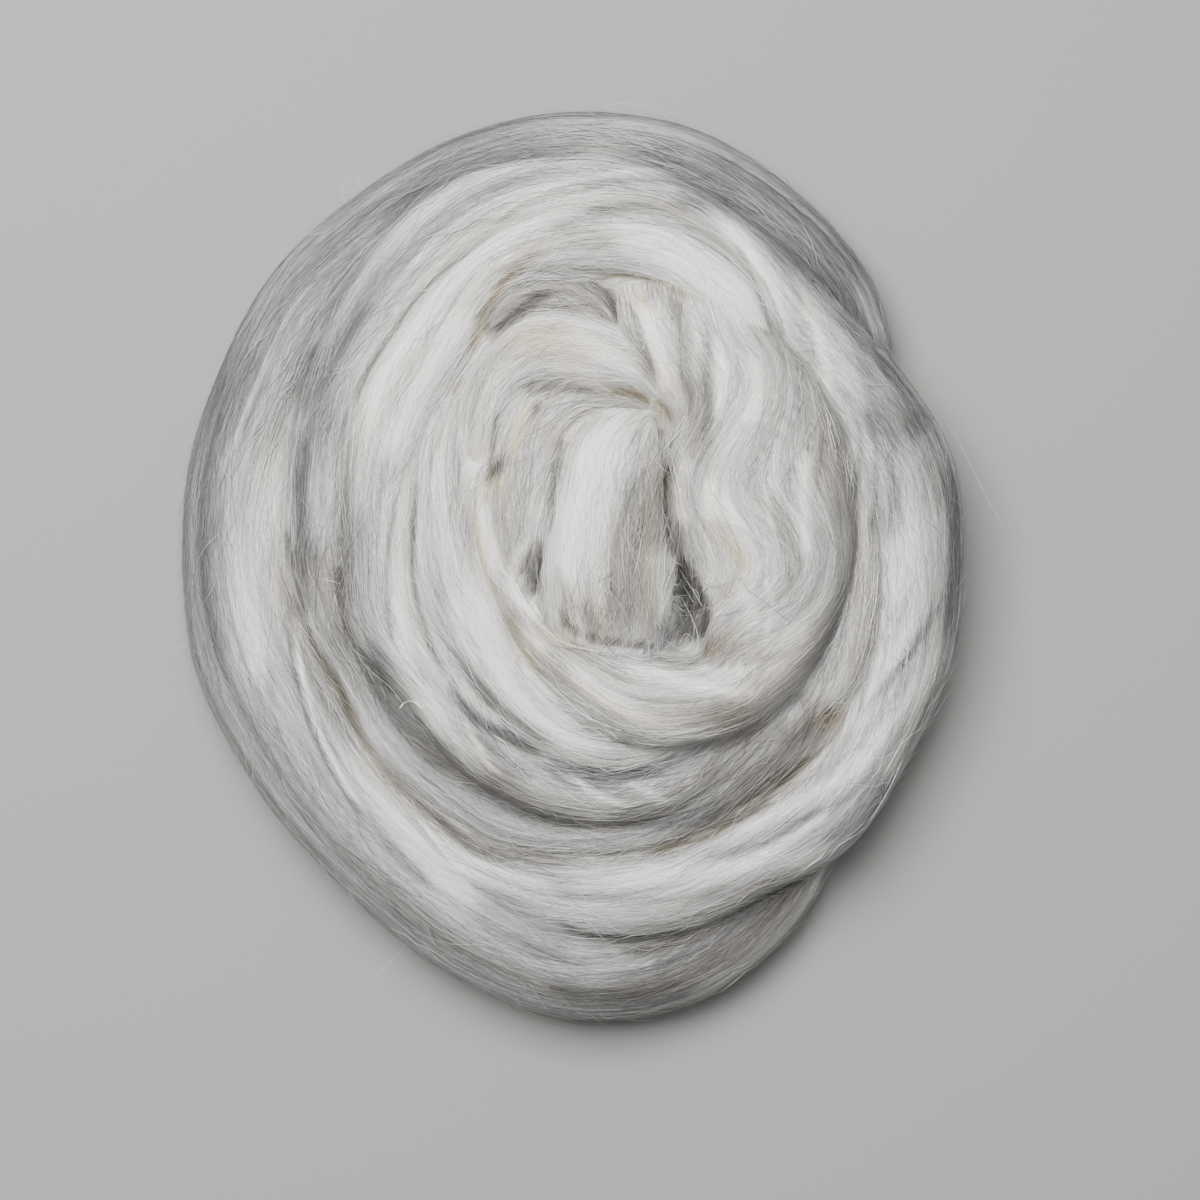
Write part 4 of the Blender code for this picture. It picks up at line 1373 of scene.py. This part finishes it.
def rolled_over(height: np.ndarray, ball: float) -> np.ndarray:
    """Fills the creases of a height that a ball is too big to roll into.

    The middle of the ball is kept above the height everywhere, which is the greatest of
    the heights round it less the ball's own curve; then the ball's underside is the
    least of that, by the same step with its sign changed.

    Args:
        height: The height over a grid whose step is one unit.
        ball: The ball's radius in the same unit.

    Returns:
        The height of the ball's underside, never below the height itself.
    """

    def raised(grid: np.ndarray) -> np.ndarray:
        """The greatest of each point's surroundings, less the ball's curve."""
        reach = int(ball)
        most = grid
        for i in range(-reach, reach + 1):
            for j in range(-reach, reach + 1):
                if i * i + j * j < ball * ball:
                    curve = ball - math.sqrt(ball * ball - i * i - j * j)
                    most = np.maximum(most, np.roll(grid, (i, j), (0, 1)) - curve)
        return most

    return -raised(-raised(height))


@dataclass
class Bedding:
    """The wool in the creases between the turns, as a height over a grid of 1 mm steps.

    Turns of combed wool don't meet along a sharp line, because their fibres bridge the
    crease. The bedding is as high as the underside of a ball rolled over the nest, so it
    meets both flanks without a step. The hollow at the heart stays open.

    Attributes:
        turns: The turns that it lies between.
        half: Half the grid's side in millimetres.
        ball: The ball's radius.
        fine_ball: Radius of the ball that closes the gaps between the points of a turn.
        sunk: How far the wool lies below the ball.
        least_deep: Depth of crease from which the bedding shows.
        lowest: Height under which nothing is filled.
        darker: How much darker than the turns beside it the bedding is, as painted shade
        in the creases.
        warmth_everywhere: How yellow it is, apart from its streaks.
        steepest: Most that the bedding rises in one step of the grid where it is low.
        inside: Height over which it lies inside the nest and may be steeper.
        hairs: How many hairs lie on it.
        hair_lengths: Their shortest and longest length.
        hair_half_wide: Half a hair's usual width.
        stations: Points along a hair.
        seed: Seed of its streaks and hairs.
    """

    turns: list[Turn]
    half: int = 160
    ball: float = 5.6
    fine_ball: float = 1.9
    sunk: float = 1.2
    least_deep: float = 0.4
    lowest: float = 14.0
    darker: float = 0.05
    warmth_everywhere: float = 0.1
    steepest: float = 1.6
    inside: float = 27.0
    hairs: int = 2600
    hair_lengths: tuple[float, float] = (9.0, 42.0)
    hair_half_wide: float = 0.07
    stations: int = 8
    seed: int = 1200

    # Times that a turn's tone and run are softened, steps along a turn and angles round it
    # that are dropped on the grid, and how far under the bedding a fibre is hidden by it.
    SOFTENING = 8
    DROP_STEP = 0.8
    DROP_ANGLES = np.radians(np.arange(-30, 211, 2))
    HIDDEN_UNDER = 0.6
    # What each set of random values adds to the bedding's seed.
    HUE_SEED, RELIEF_SEED, HAIR_SEED = 10, 20, 30
    # How a hair leans from the turns' run and waves about it, in radians, and how high its
    # middle stands; then points of a hair that the photograph shows, and its height above
    # the wool.
    LEAN, WAVE, WAVE_STEP = 0.14, 0.2, 1.3
    HAIR_RISE, HAIR_DARKER, HAIR_SPREAD = 0.7, 0.02, 0.11
    PLACED_STATIONS, PLACED_STEPS, PLACED_PROUD = 25, 8, 1.2
    FIRST_LEVEL = 50.0

    def __post_init__(self) -> None:
        """Works out the top of the turns, the bedding's height and where it shows."""
        wide = 2 * self.half
        self.top = np.zeros((wide, wide))
        # At each point, the tone and the two parts of the run of the highest turn, and 1
        # where there is one.
        self.facts = np.zeros((4, wide, wide))
        for turn in self.turns:
            self._drop(turn)
        self.facts = softened(self.facts, self.SOFTENING)
        self.facts = self.facts / np.maximum(self.facts[3], 0.01)
        top = rolled_over(self.top, self.fine_ball)
        level = rolled_over(top, self.ball)
        self.bare = (level - top > self.least_deep) & (level > self.lowest)
        across, up = np.meshgrid(*[np.arange(wide) - float(self.half)] * 2, indexing="ij")
        self.place = np.stack([across, up, softened(level, 1) - self.sunk], axis=-1)
        places = in_photo(self.place).reshape(-1, 2)
        lift, light, yellow = (value.reshape(wide, wide) for value in placed_locks_and_shading(places))
        open_share = lock_share(HOLLOW, places).reshape(wide, wide)
        # The bedding's streaks run round the nest, with their length measured half-way out.
        angle, radius = np.arctan2(up, across) + math.pi, np.hypot(across, up)
        s, a = angle * self.half / 2, TURN * radius / self.half
        length = TURN * self.half / 2
        self.run = np.stack([s, radius], axis=-1)
        # The bedding is darker than the turns beside it, as painted shade in the creases.
        self.tone = self.facts[0] - self.darker + light
        for i, streaks in enumerate(SHADES):
            self.tone += streaks.values(s, a, length, self.half, self.seed + i)
        hues = HUES.values(s, a, length, self.half, self.seed + self.HUE_SEED)
        self.warmth = self.warmth_everywhere + yellow + hues
        relief = BUNDLES[1].values(s, a, length, self.half, self.seed + self.RELIEF_SEED)
        self.place[..., 2] += lift + relief + HOLLOW.lift * open_share
        self.surface = np.maximum(self.place[..., 2], top)

    def _drop(self, turn: Turn) -> None:
        """Drops a turn on the grid: where it is the highest, its tone and its run are kept.

        Args:
            turn: The turn.
        """
        stops = np.arange(0, turn.length, self.DROP_STEP)
        s, a = np.meshgrid(stops, self.DROP_ANGLES, indexing="ij")
        points = turn.place(s, a, np.zeros_like(s)).reshape(-1, 3)
        order = np.argsort(points[:, 2])
        points, s = points[order], s.ravel()[order]
        column, row = np.round(points[:, :2] + self.half).astype(int).T
        mine, facts = np.zeros_like(self.top), np.zeros_like(self.facts)
        mine[column, row] = points[:, 2]
        run_x, run_y = -np.interp(s, turn.s, turn.side_y), np.interp(s, turn.s, turn.side_x)
        ones = np.ones_like(s)
        facts[:, column, row] = np.stack([turn.tone * ones, run_x, run_y, ones])
        self.facts = np.where(mine > self.top, facts, self.facts)
        self.top = np.maximum(self.top, mine)

    def _read(self, grid: np.ndarray, x: np.ndarray, y: np.ndarray) -> np.ndarray:
        """Reads a grid at places between its points, as their average by nearness."""
        column, row = (np.clip(v + self.half, 0, 2 * self.half - SHORT) for v in (x, y))
        i, j = column.astype(int), row.astype(int)
        u, v = column - i, row - j
        near = grid[..., i, j] * (1 - u) + grid[..., i + 1, j] * u
        far = grid[..., i, j + 1] * (1 - u) + grid[..., i + 1, j + 1] * u
        return near * (1 - v) + far * v

    def covers(self, points: np.ndarray) -> np.ndarray:
        """Whether points lie under the bedding where it shows."""
        x, y, z = np.moveaxis(points, -1, 0)
        under = z < self._read(self.surface, x, y) - self.HIDDEN_UNDER
        return under & (self._read(self.bare, x, y) > 0.5)

    def skin(self, material: bpy.types.Material) -> None:
        """Makes the bedding's surface where it shows, and two steps past that, under the turns.

        Args:
            material: Its finish.
        """
        kept = (softened(self.bare.astype(float), 2) > 0) & (self.place[..., 2] > self.lowest)
        z = self.place[..., 2]
        heights = np.stack([z[:-1, :-1], z[1:, :-1], z[1:, 1:], z[:-1, 1:]])
        cliff = (np.ptp(heights, axis=0) > self.steepest) & (heights.min(axis=0) < self.inside)
        square = kept[:-1, :-1] & kept[1:, :-1] & kept[1:, 1:] & kept[:-1, 1:]
        i, j = np.nonzero(square & ~cliff)
        wide = 2 * self.half
        here, next_row = i * wide + j, (i + 1) * wide + j
        corners = np.stack([here, next_row, next_row + 1, here + 1], axis=-1)
        used, quads = np.unique(corners, return_inverse=True)
        bake = (self.place[..., :2] + self.half) / wide
        new_piece(
            "bedding_mass",
            self.place.reshape(-1, 3)[used],
            quads.reshape(-1, 4),
            np.empty((0, 3), int),
            material,
            {
                "tone": self.tone.ravel()[used].clip(0, 1),
                "warmth": self.warmth.ravel()[used].clip(-1, 1),
            },
            {
                "OFBake": bake.reshape(-1, 2)[used],
                "run_mm": self.run.reshape(-1, 2)[used],
            },
        )

    def lay(self, material: bpy.types.Material) -> None:
        """Lays hairs that start in the creases and follow the turns' run, leaning a little.

        Args:
            material: The hairs' finish.
        """
        rng = np.random.default_rng(self.seed + self.HAIR_SEED)
        chosen = rng.choice(np.flatnonzero(self.bare), self.hairs)
        spot = np.column_stack(np.unravel_index(chosen, self.bare.shape)) - float(self.half)
        x, y = (spot + rng.uniform(-0.5, 0.5, spot.shape)).T
        step = rng.uniform(*self.hair_lengths, self.hairs) / (self.stations - 1)
        lean, wave = rng.normal(0, self.LEAN, self.hairs), rng.normal(0, self.WAVE, self.hairs)
        phase = rng.uniform(0, TURN, self.hairs)
        path = [(x, y)]
        for k in range(1, self.stations):
            run_x, run_y = self._read(self.facts[1:3], x, y)
            heading = np.arctan2(run_y, run_x) + lean + wave * np.sin(phase + self.WAVE_STEP * k)
            x, y = x + step * np.cos(heading), y + step * np.sin(heading)
            path.append((x, y))
        x, y = np.array(path).transpose(1, 2, 0)
        z = self._read(self.surface, x, y)
        level = np.abs(np.diff(z, axis=1)).max(axis=1) < 2 * self.steepest
        level |= z.min(axis=1) > self.inside
        x, y, z = x[level], y[level], z[level]
        count = len(z)
        arch = np.sin(math.pi * np.linspace(0, 1, self.stations))[None, :]
        z = z - SUNK + (self.HAIR_RISE + rng.uniform(0.2, 1.0, count)[:, None]) * arch**RISING
        uneven = rng.normal(0, self.HAIR_SPREAD, count)[:, None]
        tone = self._read(self.tone, x, y) - self.HAIR_DARKER + uneven
        ribbons(
            "bedding_fibres",
            np.stack([x, y, z], axis=-1),
            np.broadcast_to([0.0, 0.0, 1.0], (*x.shape, 3)),
            self.hair_half_wide * breadths(rng, count) * arch**NARROWING,
            tone.clip(0, 1),
            self._read(self.warmth, x, y).clip(-1, 1),
            material,
        )

    def place_hairs(self, material: bpy.types.Material) -> None:
        """Lays the single hairs that the photograph shows, on the wool or past its edge.

        A hair's place is where the camera's ray through its place in the photograph
        meets the wool, which three rounds from a first level find.

        Args:
            material: The hairs' finish.
        """
        count = self.PLACED_STATIONS
        lines = []
        for hair in HAIRS:
            path = through(np.array(hair.path, float), self.PLACED_STEPS)
            path = path[np.linspace(0, len(path) - 1, count).round().astype(int)]
            z = np.full(count, self.FIRST_LEVEL)
            for _ in range(3):
                reach = (CAMERA_Z - z) / PHOTO_SCALE
                x = (path[:, 0] - PHOTO_WIDE / 2) * reach + CAMERA_X
                y = (PHOTO_WIDE / 2 - path[:, 1]) * reach + CAMERA_Y
                z = np.maximum(self._read(self.surface, x, y) + self.PLACED_PROUD, hair.level)
            lines.append(np.column_stack([x, y, z]))
        middle_line = np.array(lines)
        ribbons(
            "placed_hairs",
            middle_line,
            np.broadcast_to([0.0, 0.0, 1.0], middle_line.shape),
            np.repeat([[hair.half_wide] for hair in HAIRS], count, axis=1),
            np.repeat([[hair.tone] for hair in HAIRS], count, axis=1),
            np.zeros((len(HAIRS), count)),
            material,
        )


def under_rows() -> tuple[Section, ...]:
    """The hidden turns under the nest, which run in evenly and past the middle.

    Returns:
        Their sections: the radius falls evenly with the angle, and the crown is eased up
        as they come in from the rim.
    """
    outermost, fall, turns, wide = 88, 102, 2.75, 38
    low, rise, climb = 27, 11, 30
    share = np.linspace(0, 1, 26)
    radius, angle = outermost - fall * share, TURN * turns * share
    crown = low + rise * eased((outermost - np.abs(radius)) / climb)
    rows = zip(radius * np.cos(angle), radius * np.sin(angle), crown)
    return tuple(Section(float(x), float(y), wide, float(z), float(z) + 1) for x, y, z in rows)


@dataclass
class Nest:
    """The whole nest: every turn, with its mass, its fibres and its loose hairs."""

    turns: list[Turn] = field(
        default_factory=lambda: [
            # The rim's tone is partly lowered as painted shade, as it lies lowest and furthest from
            # the light.
            Turn("rim", RIM, 100, tone=0.4, warmth=-0.02, fibres=4000, low=-75, high=150,
                 fringe=2600),
            Turn("second_turn", SECOND_TURN, 200, tone=0.56, warmth=-0.02, fibres=4000, low=-45,
                 high=170, fringe=1200),
            Turn("crown_turn", CROWN_TURN, 400, tone=0.66, fibres=2300, longest=85, low=-5,
                 high=190),
            Turn("inner_turn", INNER_TURN, 500, tone=0.66, warmth=0.08, fibres=1200, low=0,
                 high=190),
            Turn("heart_turn", HEART_TURN, 600, tone=0.54, warmth=0.18, fibres=2200, high=235,
                 sway=((0, 44), (2.2, 10), (3.9, -50), (4.9, -34), (6.6, -82), (8, -96),
                       (12, -110))),
            Turn("left_lobe", LEFT_LOBE, 700, tone=0.68, warmth=0.14, fibres=800, longest=60,
                 low=-10, high=190),
            Turn("upper_lobe", UPPER_LOBE, 800, tone=0.74, warmth=0.18, fibres=600, longest=60,
                 low=-10, high=190),
            Turn("side_lobe", SIDE_LOBE, 850, warmth=0.18, fibres=350, longest=45, low=-10,
                 high=190),
            Turn("side_strand", SIDE_STRAND, 870, tone=0.72, warmth=0.15, fibres=260, longest=40,
                 end_rounding=10),
            # The crease fill's low tone is painted shade in the crease.
            Turn("crease_fill", CREASE_FILL, 880, tone=0.36, warmth=0.3, fibres=160, longest=30,
                 end_rounding=10),
            Turn("right_fold", RIGHT_FOLD, 885, tone=0.66, warmth=0.1, fibres=500, low=-10,
                 high=190),
            # The packed heart's tone of nought is painted shade at the bottom of the hollow.
            Turn("packed_heart", PACKED_HEART, 890, tone=0.0, warmth=0.15, fibres=900, longest=26,
                 curl=3.5),
            # The back fold's low tone is painted shade under the arch.
            Turn("back_fold", BACK_FOLD, 950, tone=0.4, warmth=0.2, fibres=350, longest=50,
                 low=-10, high=190),
            Turn("under_turns", under_rows(), 990, tone=0.55, fibres=0, run_step=6,
                 girth_step=3),
        ]
    )

    def build(self) -> None:
        """Makes every turn's mass and lays the fibres on it.

        A single fibre is smoother than a mass of them, so its grain and bump are fainter.
        """
        mass = WoolFinish("combed_wool_mass").material()
        fibre = WoolFinish("combed_wool_fibre", bump_mm=0.02, sheen=0.2, grain_share=0.4).material()
        bedding = Bedding(self.turns)
        for turn in self.turns:
            turn.skin(mass)
        bedding.skin(mass)
        for sort in Fibres:
            for turn in self.turns:
                turn.lay(sort, self.turns, bedding, fibre)
        bedding.lay(fibre)
        bedding.place_hairs(fibre)


@dataclass
class Studio:
    """A plain pale floor, a broad soft light overhead and the camera above the nest."""

    floor_size: float = 10.0
    floor_colour: str = "#9C9A97"
    floor_roughness: float = 0.9
    light_size: tuple[float, float] = (0.9, 0.7)
    light_place: tuple[float, float, float] = (-0.28, 0.42, 1.25)
    light_power: float = 39.0
    room_colour: str = "#F2F3F5"
    room_strength: float = 0.32
    sensor: float = 36.0
    nearest: float = 0.01

    def floor(self) -> None:
        """Lays the floor."""
        half = self.floor_size / 2
        mesh = bpy.data.meshes.new("floor")
        corners = [(-half, -half, 0), (half, -half, 0), (half, half, 0), (-half, half, 0)]
        mesh.from_pydata(corners, [], [(0, 1, 2, 3)])
        material = bpy.data.materials.new("floor_paper")
        material.use_nodes = True
        shader = material.node_tree.nodes["Principled BSDF"]
        shader.inputs["Base Color"].default_value = linear(self.floor_colour)
        shader.inputs["Roughness"].default_value = self.floor_roughness
        mesh.materials.append(material)
        floor = bpy.data.objects.new("floor", mesh)
        bpy.context.scene.collection.objects.link(floor)

    def lights(self) -> None:
        """Hangs the soft light, aimed at the nest, and sets the faint light of the room."""
        light = bpy.data.lights.new("softbox", "AREA")
        light.shape = "RECTANGLE"
        light.size, light.size_y = self.light_size
        light.energy = self.light_power
        hung = bpy.data.objects.new("softbox", light)
        x, y, z = self.light_place
        hung.location = (x, y, z)
        hung.rotation_euler = (-math.atan2(y, z), -math.atan2(-x, z), 0)
        bpy.context.scene.collection.objects.link(hung)
        world = bpy.data.worlds.new("room")
        world.use_nodes = True
        background = world.node_tree.nodes["Background"]
        background.inputs["Color"].default_value = linear(self.room_colour)
        background.inputs["Strength"].default_value = self.room_strength
        bpy.context.scene.world = world

    def camera(self) -> None:
        """Looks straight down from the photograph's place."""
        camera = bpy.data.cameras.new("camera")
        camera.sensor_width = self.sensor
        camera.lens = self.sensor * (CAMERA_Z - VIEW_LEVEL) / VIEW_WIDE
        camera.clip_start = self.nearest
        placed = bpy.data.objects.new("camera", camera)
        placed.location = (CAMERA_X * MM, CAMERA_Y * MM, CAMERA_Z * MM)
        bpy.context.scene.collection.objects.link(placed)
        bpy.context.scene.camera = placed

    def build(self) -> None:
        """Sets up the camera, the floor and the lights."""
        self.camera()
        self.floor()
        self.lights()


def main() -> None:
    """Builds the studio and the nest."""
    logging.basicConfig(level=logging.INFO, format="%(message)s")
    Studio().build()
    Nest().build()


if __name__ == "__main__":
    main()
